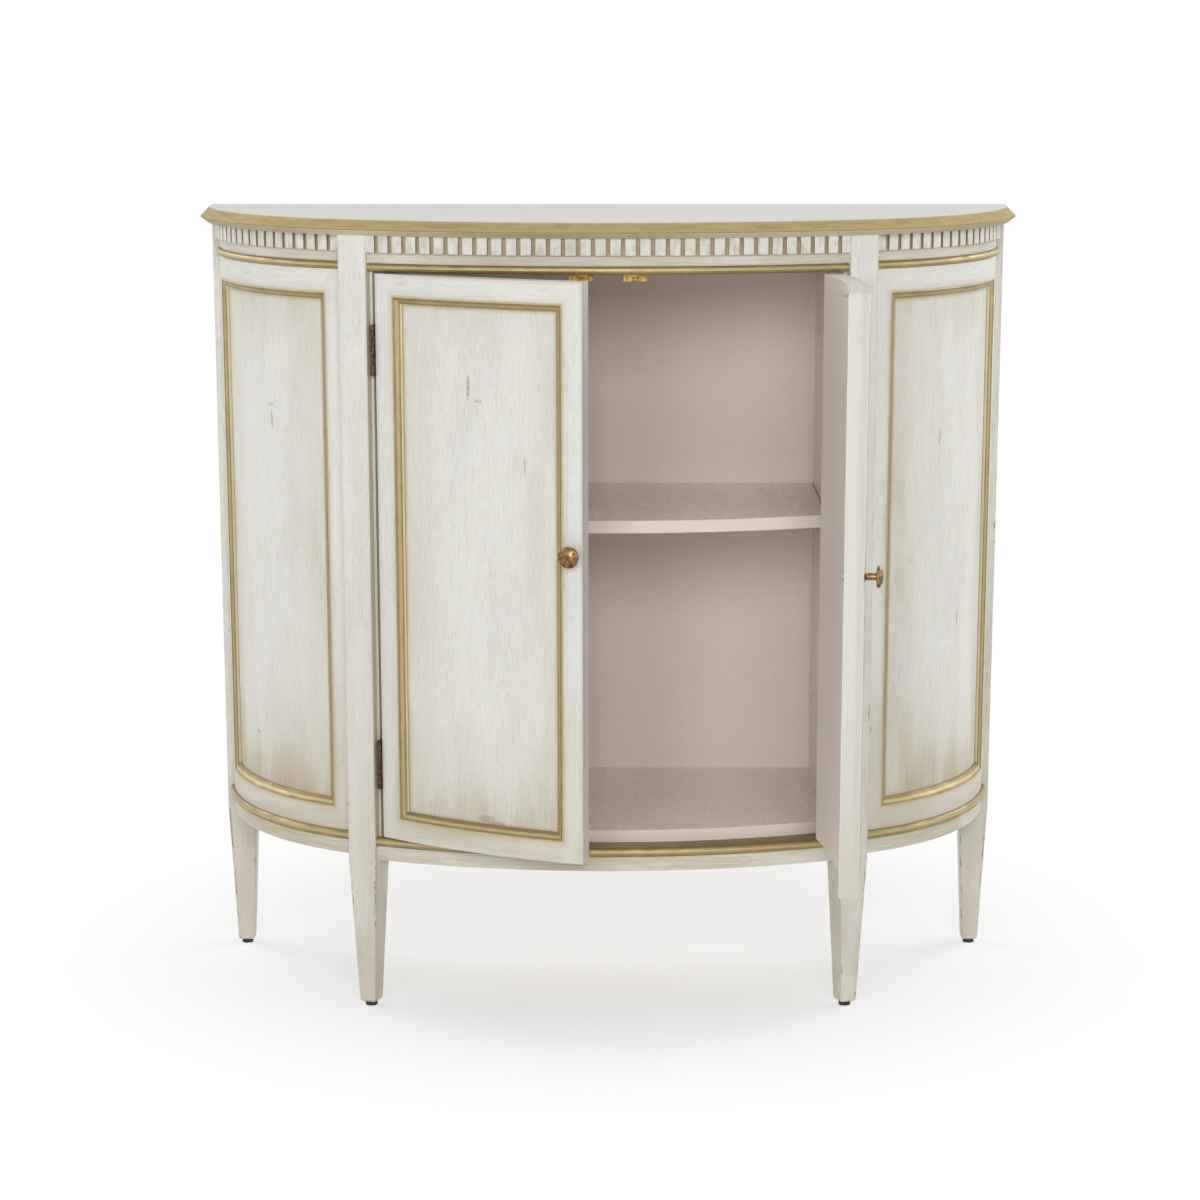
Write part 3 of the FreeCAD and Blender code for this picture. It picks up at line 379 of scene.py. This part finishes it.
DOOR_GOUGES = {
    "left": (
        Gouge(-0.0107, 0.736, 0.003, 0.017),
        Gouge(0.002, 0.7215, 0.006, 0.0025),
        Gouge(0.060, 0.654, 0.002, 0.012),
        Gouge(0.0085, 0.2480, 0.013, 0.006),
        Gouge(0.022, 0.2445, 0.014, 0.004),
    ),
    "right": (
        Gouge(0.03, 0.61, 0.003, 0.016),
        Gouge(-0.05, 0.45, 0.002, 0.014),
    ),
}
SIDE_GOUGES = {
    "left": (
        Gouge(0.022, 0.680, 0.003, 0.014),
        Gouge(0.020, 0.697, 0.006, 0.0025),
        Gouge(-0.03, 0.30, 0.005, 0.003),
    ),
    "right": (
        Gouge(-0.03, 0.66, 0.003, 0.012),
        Gouge(0.02, 0.44, 0.003, 0.016),
    ),
}
DOOR_HAZE, SIDE_HAZE = 0.18, 0.34
for index, side in enumerate(("left", "right")):
    door = panel_finish(side + " door panel paint", DOORS[side], on_side(side, DOOR_SPAN), 3.7 * index,
                        DOOR_GOUGES[side], DOOR_HAZE)
    wall = panel_finish(side + " side panel paint", SIDES[side], on_side(side, SIDE_SPAN), 11.3 + index,
                        SIDE_GOUGES[side], SIDE_HAZE)
    put(door, side + "_door_panel")
    put(wall, side + "_side_panel")
print("four panels painted")

# %% [markdown]
# ## Frames
#
# Stiles stand upright and rails lie across, and the brush followed each of them, so they need two
# finishes. Against the moulding both keep a thin line of glaze, and both grow darker towards the floor,
# partly with glaze and partly with painted shade. A door's outer arrises are rubbed through, its edges are
# a cooler cream, and its inner face is a taupe painted lighter than the inside's, as painted light. A
# side's stile keeps a dark line where it meets the post.


# %% Stile and rail finishes
def frame_finish(name, bow, span, edges, seed, upright, gouges=()):
    """edges is the outline of a door. The frame of a side has none."""
    finish = Finish(name, gloss=PAINT_GLOSS)
    length, out = round_the_bow(finish, bow)
    along, across = (finish.z, length) if upright else (length, finish.z)
    colour, streak, broad = brushed_cream(finish, across, along, out, seed)
    beyond = 0 - inside(finish, length, span)
    # Darker towards the floor: partly glaze, partly painted shade where less light reaches low down.
    low = finish.step(finish.z, 0.5, 0.21) * 0.45
    colour = lay_glaze_and_shade(finish, colour, finish.step(beyond, 0.010, 0.0) * 0.3 + low, broad)
    colour = lay_glaze_and_shade(finish, colour, finish.step(beyond, 0.0025, 0.0005) * 0.5, streak)
    scuffs = patches(finish, across, along, out, seed, 0.35)
    colour = rubbed(finish, colour, finish.step(beyond, 0.006, 0.0015) * 0.75, scuffs)
    if edges:
        rim = inside(finish, length, edges) + finish.step(out, -0.004, -0.010) * 0.003
        colour = lay_glaze_and_shade(finish, colour, finish.step(rim, 0.004, 0.0) * 0.5, streak)
        colour = rubbed(finish, colour, finish.step(rim, 0.005, 0.001), scuffs)
        colour = finish.lay(finish.step(rim, 0.0036, 0.0031) * 0.45, colour, COOL_CREAM)
        colour = taupe_behind(finish, colour, out)
    else:
        joint = finish.step(abs(length), JOINT_START, JOINT_END)
        # A side's frame grows darker near its foot: partly glaze, partly painted shade.
        colour = lay_glaze_and_shade(finish, colour, finish.step(finish.z, 0.27, 0.21) * 0.3, broad)
        colour = finish.lay(joint * 0.55, colour, GROUND_AND_SHADE)
        colour = gouged(finish, colour, length, 0.0, gouges)
    return brushed(finish, colour, streak)


STILE_GOUGES = {"right": (Gouge(0.1370, 0.327, 0.0040, 0.007),)}
for index, side in enumerate(("left", "right")):
    opening, edges = on_side(side, DOOR_SPAN), on_side(side, DOOR_EDGES)
    side_opening = on_side(side, SIDE_SPAN)
    for part, upright in (("stiles", True), ("rails", False)):
        door = frame_finish("%s door %s paint" % (side, part), DOORS[side], opening, edges, 5.1 + index,
                            upright)
        gouges = STILE_GOUGES.get(side, ()) if upright else ()
        wall = frame_finish("%s side %s paint" % (side, part), SIDES[side], side_opening, None, 8.9 + index,
                            upright, gouges)
        put(door, "%s_door_%s" % (side, part))
        put(wall, "%s_side_%s" % (side, part))
print("frames painted, stiles along their length and rails along theirs")

# %% [markdown]
# ## Posts and legs
#
# A post and its leg are one piece of wood. Knees, feet and brooms have rubbed its four arrises, more so
# below the case, and it grows darker towards the floor, partly with glaze and partly with painted shade.
# The arrises are found by sums: turned to face the post, both sides of the square are near the half
# width there. A front post has glaze on its door side, and one of them has a chip on its outer arris.

# %% Post finish
HALF_FOOT, HALF_POST = 0.00975, 0.0175
LEG_FOOT, LEG_LENGTH = 0.005, 0.1755


def post_finish(name, x, y, turn, inner, seed, gouges):
    """inner is 1 or -1: the way to the door from the middle of a front post. A back post has 0."""
    finish = Finish(name, gloss=PAINT_GLOSS)
    colour, streak, broad = brushed_cream(finish, finish.x, finish.z, finish.y, seed)
    angle = math.radians(turn)
    dx, dy = finish.x - x, finish.y - y
    sideways = dx * math.cos(angle) + dy * math.sin(angle)
    across = abs(sideways)
    deep = abs(dy * math.cos(angle) - dx * math.sin(angle))
    taper = (HALF_POST - HALF_FOOT) / LEG_LENGTH
    half = ((finish.z - LEG_FOOT) * taper + HALF_FOOT).least(HALF_POST)
    arris = half - across.least(deep)
    leg = finish.step(finish.z, 0.2, 0.02)
    # The leg and the lower post grow darker towards the floor: partly glaze, partly painted shade.
    colour = lay_glaze_and_shade(finish, colour, leg * 0.2 + finish.step(finish.z, 0.75, 0.15) * 0.3, broad)
    colour = lay_glaze_and_shade(finish, colour, finish.step(arris, 0.003, 0.0) * 0.4, streak)
    scuffs = patches(finish, finish.x, finish.z, finish.y, seed, 0.42)
    knocks = patches(finish, finish.x, finish.z, finish.y, seed + 4.0, 0.75)
    knocks = knocks * finish.step(finish.z, 0.26, 0.14)
    colour = rubbed(finish, colour, finish.step(arris, 0.0045, 0.0005), scuffs.most(knocks))
    if inner:
        door_side = finish.step(sideways * inner, 0.0168, 0.0174)
        door_side = door_side * finish.step(finish.z, BASE_HIGH, BASE_HIGH + 0.0005)
        door_side = door_side * finish.step(finish.z, FRIEZE_LOW, FRIEZE_LOW - 0.0005)
        colour = finish.lay(door_side * 0.6, colour, GLAZE_AND_SHADE)
    colour = gouged(finish, colour, sideways, 0.0, gouges)
    return brushed(finish, colour, streak)


FRONT_POST = (0.27862, -0.28370, 22.65, 1)
BACK_POST = (0.45315, -0.0235, 0.0, 0)
POST_GOUGES = {"right front": (Gouge(0.0166, 0.354, 0.0025, 0.014),)}
for sign, side in ((-1, "left"), (1, "right")):
    for place, (x, y, turn, faces_door) in (("front", FRONT_POST), ("back", BACK_POST)):
        gouges = POST_GOUGES.get("%s %s" % (side, place), ())
        paint = post_finish("%s %s post paint" % (side, place), sign * x, y, sign * turn, -sign * faces_door,
                            2.3 * sign + turn, gouges)
        put(paint, "%s_%s_post" % (side, place))

finish = Finish("jamb paint", gloss=PAINT_GLOSS)
colour, streak, broad = brushed_cream(finish, finish.x, finish.z, finish.y, 37.0)
# The jamb's glaze grows heavier towards the floor, where it is partly painted shade.
colour = lay_glaze_and_shade(finish, colour, finish.step(finish.z, 0.8, 0.2) * 0.3 + 0.4, broad)
put(brushed(finish, colour, streak), "hinge_jambs")
print("four posts and two hinge jambs painted, arrises rubbed")

# %% [markdown]
# ## Frieze, apron and dentils
#
# These run round the case under the top and at its foot. The dentils are cut teeth: their faces are
# cream, and the gilder's brush went down the gaps between them. A gap is found by depth, because its
# floor stands further back than the teeth.


# %% Frieze and apron finishes
def band_finish(name, bow, seed, apron):
    """A band round the case: the apron, rubbed along its foot, or the frieze, with a painted shadow under
    the dentils and a darker line above the bead.
    """
    finish = Finish(name, gloss=PAINT_GLOSS)
    length, out = round_the_bow(finish, bow)
    colour, streak, broad = brushed_cream(finish, finish.z, length, out, seed)
    if apron:
        scuffs = patches(finish, finish.z, length, out, seed, 0.4)
        foot = finish.step(finish.z, APRON_LOW + 0.004, APRON_LOW + 0.0005)
        # Heavy glaze on the apron: partly glaze, partly painted shade low on the case.
        colour = lay_glaze_and_shade(finish, colour, broad * 1.3, streak)
        colour = rubbed(finish, colour, foot, scuffs)
    else:
        dentil_low = TOP_LOW - DENTIL
        # A painted shadow under the dentils, a darker line above the bead, and heavy glaze that is partly
        # painted shade under the top.
        shade = finish.step(finish.z, dentil_low - 0.0018, dentil_low - 0.0004)
        low = finish.step(finish.z, FRIEZE_LOW + 0.011, FRIEZE_LOW + 0.0095)
        colour = lay_glaze_and_shade(finish, colour, broad * 0.9, streak)
        colour = finish.lay(shade * 0.6 + low * 0.35, colour, GROUND_AND_SHADE)
    return brushed(finish, colour, streak)


def dentil_finish(name, bow, seed):
    """Cream teeth with gold in the gaps. The walls of a gap are painted darker than its floor as painted
    shade, and the foot of the teeth has a painted shadow line.
    """
    finish = Finish(name, gloss=PAINT_GLOSS)
    length, out = round_the_bow(finish, bow)
    colour, streak, _ = brushed_cream(finish, finish.x, finish.z, finish.y, seed)
    cloud = finish.noise(length * 90 + seed, finish.z * 60, out * 60, 2.0)
    colour = lay_glaze_and_shade(finish, colour, finish.step(cloud, 0.4, 0.7) * 0.55, streak)
    wobble = (finish.noise(length * 500, finish.z * 200, out * 200) - 0.5) * 0.001
    gap = finish.step(out + wobble, 0.0044, 0.0034)
    gilt = finish.lay(finish.step(cloud, 0.35, 0.65) * 0.5, GOLD, GLAZE_AND_SHADE)
    # The walls of a gap are painted darker than its floor: painted shade.
    gilt = finish.lay(finish.step(out, 0.0012, 0.002) * 0.6, gilt, OLD_GOLD_AND_SHADE)
    colour = finish.lay(gap * 0.9, colour, gilt)
    dentil_low = TOP_LOW - DENTIL
    # A dark line along the foot of the teeth: a painted shadow.
    edge = finish.step(finish.z, dentil_low + 0.0014, dentil_low + 0.0002)
    colour = finish.lay(edge * 0.45, colour, GROUND_AND_SHADE)
    return finish.show(colour, None, streak, 0.0004)


for index, (place, bow) in enumerate(THREE_LENGTHS):
    put(band_finish(place + " frieze paint", bow, 17.0 + index, False), place + "_frieze_rail")
    put(band_finish(place + " apron paint", bow, 23.0 + index, True), place + "_apron")
    put(dentil_finish(place + " dentil paint", bow, 29.0 + index), place + "_dentil_strip")
print("frieze, dentils and apron painted")

# %% [markdown]
# ## The top
#
# The flat of the top is brushed from end to end, a little brighter than the rest and quite matt: a shiny
# top would mirror the lamps behind it and look white from the side. The slope round its edge is gilded,
# with a pale line low on it as a painted highlight and old gold at its foot as a painted shadow.
# It is the only face that looks half upwards, so the surface's own direction picks it out. The face
# below the edge has a thinner wash of gold.

# %% Top finish
finish = Finish("top paint", roughness=0.75, gloss=0.25)
colour, streak, broad = brushed_cream(finish, finish.y * 0.12, finish.x, finish.z, 31.0)
flat = finish.step(finish.z, TOP_HIGH - 0.0001, TOP_HIGH - 0.00005)
colour = finish.lay(flat * 0.7, colour, BRIGHT_CREAM)
under = finish.step(finish.z, SLOPE_LOW + 0.0002, SLOPE_LOW - 0.0003)
colour = finish.lay(under * finish.step(broad, 0.3, 0.7, 0.45, 0.75), colour, GOLD)
facing = finish.node("ShaderNodeTexCoord", output="Normal")
rise = finish.node("ShaderNodeSeparateXYZ", {}, {0: facing}, "Z")
slope = finish.step(rise, 0.3, 0.4) * finish.step(rise, 0.95, 0.9)
worn = finish.noise(finish.x * 28, finish.y * 28, finish.z * 300, 3.0, 0.6)
down = (TOP_HIGH - finish.z) / (TOP_HIGH - SLOPE_LOW)
gilt = finish.lay(finish.step(worn, 0.36, 0.7) * 0.7, PALE_GOLD_AND_HIGHLIGHT, GOLD)
# A pale line low on the slope is a painted highlight, and old gold at its foot a painted shadow.
gilt = finish.lay(finish.step(abs(down - 0.8), 0.14, 0.05) * 0.6, gilt, PALE_GOLD_AND_HIGHLIGHT)
gilt = finish.lay(finish.step(down, 0.9, 0.97) * 0.8, gilt, OLD_GOLD_AND_SHADE)
gilt = finish.lay(finish.step(down, 0.2, 0.02) * 0.65, gilt, GLAZE_AND_SHADE)
colour = finish.lay(slope, colour, gilt)
put(finish.show(colour, None, streak, 0.0003), "top_board")
print("top painted, its slope gilded")

# %% [markdown]
# ## Gilding
#
# The mouldings carry gold size and bronze powder, rubbed and toned, with brown specks where it has worn.
# Across each moulding, lines of old gold paint the shade in its quirks, and pale gold on the high line
# and cream gold at its margins are painted highlights. A bead gets a painted highlight along its middle
# and painted shade at its top and foot. A plain gold metal would look like polished brass, so this is a
# paint that is only partly metallic. On the lowest length of an opening, old gold paints the shade on its
# upper edge, with a pale line as its painted highlight.


# %% Gilded mouldings
def line(finish, distance, middle, wide, narrow):
    """A soft line along a moulding, where the distance is near the middle."""
    return finish.step(abs(distance - middle), wide, narrow)


def gilding(name, bow, span=None, bead=None, seed=0.0):
    """Gold for the moulding round an opening, or for a bead between two levels."""
    finish = Finish(name)
    length, out = round_the_bow(finish, bow)
    stroke = finish.noise(length * 45 + seed, finish.z * 45, out * 300, 4.0, 0.55)
    specks = finish.noise(length * 600 + seed, finish.z * 600, out * 600, 2.0, 0.6)
    colour = finish.lay(finish.step(stroke, 0.36, 0.72) * 0.6, GOLD, OLD_GOLD_AND_SHADE)
    if span:
        deep = inside(finish, length, span)
        # Cream gold on the outer flat and inner margin and a pale gold line on the high part are painted
        # highlights; old gold lines beside them are painted shade.
        colour = finish.lay(line(finish, deep, 0.0050, 0.0018, 0.0006) * 0.5, colour, PALE_GOLD_AND_HIGHLIGHT)
        colour = finish.lay(line(finish, deep, 0.0024, 0.0013, 0.0005) * 0.6, colour, OLD_GOLD_AND_SHADE)
        colour = finish.lay(line(finish, deep, 0.0072, 0.0010, 0.0004) * 0.5, colour, OLD_GOLD_AND_SHADE)
        colour = finish.lay(finish.step(deep, 0.0014, 0.0008) * 0.5, colour, HIGHLIGHT_CREAM_GOLD)
        # On the bottom length, old gold on its inner part is painted shade and a pale line a painted
        # highlight.
        ledge = finish.step(finish.z, span.low + MOULDING + 0.001, span.low + MOULDING)
        margin_highlight = finish.step(deep, 0.0078, 0.0085) * (0.6 - ledge * 0.6)
        colour = finish.lay(margin_highlight, colour, HIGHLIGHT_CREAM_GOLD)
        colour = finish.lay(ledge * finish.step(deep, 0.0062, 0.0078) * 0.8, colour, OLD_GOLD_AND_SHADE)
        colour = finish.lay(ledge * line(finish, deep, 0.0046, 0.0014, 0.0004) * 0.6, colour, PALE_GOLD_AND_HIGHLIGHT)
    if bead:
        low, high = bead
        rise = (finish.z - low) / (high - low)
        # A pale line along the middle of the bead is a painted highlight, and old gold at its top and foot
        # painted shade.
        colour = finish.lay(line(finish, rise, 0.56, 0.2, 0.06) * 0.75, colour, PALE_GOLD_AND_HIGHLIGHT)
        colour = finish.lay(finish.step(rise, 0.84, 0.94) * 0.75, colour, OLD_GOLD_AND_SHADE)
        colour = finish.lay(finish.step(rise, 0.2, 0.06) * 0.75, colour, OLD_GOLD_AND_SHADE)
    colour = finish.lay(finish.step(specks, 0.7, 0.78) * 0.6, colour, DARK_GROUND)
    roughness = finish.step(stroke, 0.3, 0.7) * 0.2 + 0.36
    metallic = finish.step(specks, 0.7, 0.6) * 0.4
    return finish.show(colour, roughness, stroke, 0.0003, metallic)


for index, side in enumerate(("left", "right")):
    door = gilding(side + " door gilding", DOORS[side], on_side(side, DOOR_SPAN), seed=41.0 + index)
    wall = gilding(side + " side gilding", SIDES[side], on_side(side, SIDE_SPAN), seed=43.0 + index)
    put(door, side + "_door_moulding")
    put(wall, side + "_side_moulding")
for index, (place, bow) in enumerate(THREE_LENGTHS):
    bead = gilding(place + " bead gilding", bow, bead=(FRIEZE_LOW, BEAD_HIGH), seed=47.0 + index)
    base = gilding(place + " base gilding", bow, bead=(BASE_LOW, BASE_HIGH), seed=53.0 + index)
    put(bead, place + "_frieze_bead")
    put(base, place + "_base_moulding")
print("mouldings gilded")

# %% [markdown]
# ## The inside
#
# The inside has a satin taupe coat, rolled on rather than brushed. It has a faint orange peel and hardly
# any streak. Its sheen matters: seen at a low angle, the shelf and the side walls pick up the light of
# the back panel.

# %% Inside finish
finish = Finish("inside paint")
cloud = finish.noise(finish.x * 9, finish.y * 9, finish.z * 6, 3.0)
peel = finish.noise(finish.x * 700, finish.y * 700, finish.z * 700, 2.0)
colour = finish.lay(finish.step(cloud, 0.35, 0.7) * 0.6, TAUPE, DULL_TAUPE)
put(finish.show(colour, finish.step(peel, 0.3, 0.7) * 0.06 + 0.24, peel, 0.0001),
    "back_panel", "back_rails", "bottom_board", "shelf", "top_blocks", "left_partition", "right_partition")
print("inside painted")

# %% [markdown]
# ## Metal and glides
#
# The knobs and hinges are brass that has been bronzed and rubbed, the catches are bright, the screws and
# the shelf's pins are steel, and the glides are black nylon. The strike plates on the doors are steel
# with a coat of paint, so they are not metallic; their colour is the taupe of a door's inner face as it
# looks in shade, a painted shade. Metal gets its look from reflections, so small changes in roughness do
# most of the work.


# %% Metal finishes
def metal(name, light, dark, low, high, metallic=1.0):
    """Metal in two tones. low and high are its roughness where it is clean and where it is tarnished."""
    finish = Finish(name, metallic=metallic)
    tarnish = finish.noise(finish.x * 260, finish.y * 260, finish.z * 260, 4.0, 0.6)
    scratch = finish.noise(finish.x * 1400, finish.y * 1400, finish.z * 300, 2.0, 0.6)
    colour = finish.lay(finish.step(tarnish, 0.38, 0.66), light, dark)
    roughness = finish.step(tarnish, 0.3, 0.7) * (high - low) + low
    return finish.show(colour, roughness, scratch, 0.0001)


bronze = metal("bronzed brass", tint(150, 118, 76), tint(84, 62, 42), 0.28, 0.5)
hinge = metal("browned hinges", tint(112, 88, 70), tint(58, 44, 36), 0.35, 0.6)
brass = metal("bright brass", tint(186, 162, 92), tint(134, 112, 56), 0.25, 0.45)
steel = metal("plain steel", tint(176, 174, 170), tint(120, 118, 114), 0.25, 0.45)
nylon = metal("black nylon", tint(30, 30, 30), tint(20, 20, 20), 0.4, 0.6, 0.0)
# The strike plates' paint is the taupe of a door's inner face in shade: a painted shade.
painted = metal("painted steel", tint(176, 163, 152), tint(164, 151, 140), 0.45, 0.6, 0.0)
put(nylon, "foot_glides")
put(steel, "shelf_supports", "left_knob_screw", "right_knob_screw")
put(brass, "door_catches")
put(painted, "left_strike_plate", "right_strike_plate")
put(bronze, "left_knob", "right_knob")
put(hinge, "case_hinge_leaves", "case_hinge_screws", "hinge_pins")
for side in ("left", "right"):
    put(hinge, side + "_door_hinge_leaves", side + "_door_hinge_screws")
print("metal finished")

# %% [markdown]
# ## The floor
#
# A studio sweep is a white floor that fades into a white wall. A large plane under a white world does
# the same. Seen by the camera, the floor is mostly its own white, so that the shadow stays pale. Under
# the cabinet the matt floor has a larger share, and further out the white takes over.

# %% Floor
SHADOW_NEAR, SHADOW_FAR = 0.3, 0.74
WHITE_SHARE_NEAR = 0.48
bpy.ops.mesh.primitive_plane_add(size=60)
floor = bpy.context.object
floor.name = "studio_floor"
material = bpy.data.materials.new("studio white")
material.use_nodes = True
nodes = Nodes(material.node_tree)
place = nodes.node("ShaderNodeTexCoord", output="Object")
away = nodes.node("ShaderNodeVectorMath", {"operation": "LENGTH"}, {0: place}, "Value")
share = nodes.seen() * nodes.step(away, SHADOW_NEAR, SHADOW_FAR, WHITE_SHARE_NEAR, 1.0)
matt = nodes.node("ShaderNodeBsdfDiffuse", {}, {"Color": (0.93, 0.93, 0.92, 1.0)})
white = nodes.node("ShaderNodeEmission", {}, {"Color": (1.0, 1.0, 1.0, 1.0)})
mixed = nodes.node("ShaderNodeMixShader", {}, {0: share, 1: matt, 2: white})
nodes.tree.links.new(mixed.socket, nodes.tree.nodes["Material Output"].inputs["Surface"])
floor.data.materials.append(material)
print("floor", tuple(floor.dimensions))

# %% [markdown]
# ## The light
#
# A broad lamp stands near the camera, above it and a little to the right, so shadows are soft and fall
# behind the pieces. A second one on the left reaches into the cupboard. Lamps at both sides, behind and
# above fill the rest. The world is white where the camera or a reflection sees it, and dimmer where it
# only lights.


# %% Lamps and world
def lamp(name, place, aim, size, power):
    """A square lamp that faces the point aim. Its size is in metres and its power in watts."""
    light = bpy.data.lights.new(name, "AREA")
    light.size = size
    light.energy = power
    stand = bpy.data.objects.new(name, light)
    stand.location = place
    direction = [a - p for a, p in zip(aim, place)]
    flat = math.hypot(direction[0], direction[1])
    tilt = math.atan2(flat, -direction[2])
    heading = math.atan2(-direction[0], direction[1])
    stand.rotation_euler = (tilt, 0.0, heading)
    bpy.context.scene.collection.objects.link(stand)


MIDDLE = (0.0, -0.2, 0.5)
lamp("front", (0.35, -4.2, 2.0), MIDDLE, 1.2, 54)
lamp("left front", (-1.4, -4.0, 1.4), MIDDLE, 1.4, 33)
lamp("left fill", (-3.2, -0.3, 1.4), MIDDLE, 1.8, 15)
lamp("right fill", (3.2, -0.3, 1.4), MIDDLE, 1.8, 24)
lamp("left back", (-2.8, 1.6, 2.2), MIDDLE, 1.6, 40)
lamp("right back", (2.8, 1.6, 2.2), MIDDLE, 1.6, 44)
lamp("overhead", (0.0, -0.5, 3.0), (0.0, -0.2, 0.6), 2.0, 11)

WORLD_LIGHT = 0.2
world = bpy.data.worlds.new("studio")
bpy.context.scene.world = world
world.use_nodes = True
nodes = Nodes(world.node_tree)
level = nodes.step(nodes.seen(), 0.0, 1.0, WORLD_LIGHT, 1.0)
background = nodes.tree.nodes["Background"]
background.inputs["Color"].default_value = (1.0, 1.0, 1.0, 1.0)
nodes.tree.links.new(level.socket, background.inputs["Strength"])
bpy.context.scene.view_settings.view_transform = "Standard"
print("lamps:", [o.name for o in bpy.data.objects if o.type == "LIGHT"])

# %% [markdown]
# ## The camera
#
# The camera looks down a little from above the top's height, through a long lens. The frame is shifted
# rather than tilted further, which is how a view camera keeps a cabinet's uprights nearly parallel.

# %% Camera
LOOK_DOWN = 13.27
lens = bpy.data.cameras.new("view")
lens.lens = 95.25
lens.sensor_width = 36.0
lens.shift_x = -0.0067
lens.shift_y = 0.1361
camera = bpy.data.objects.new("view", lens)
camera.location = (0.0, -3.8621, 1.1352)
camera.rotation_euler = (math.radians(90 - LOOK_DOWN), 0.0, 0.0)
bpy.context.scene.collection.objects.link(camera)
bpy.context.scene.camera = camera
print("camera", tuple(camera.location))
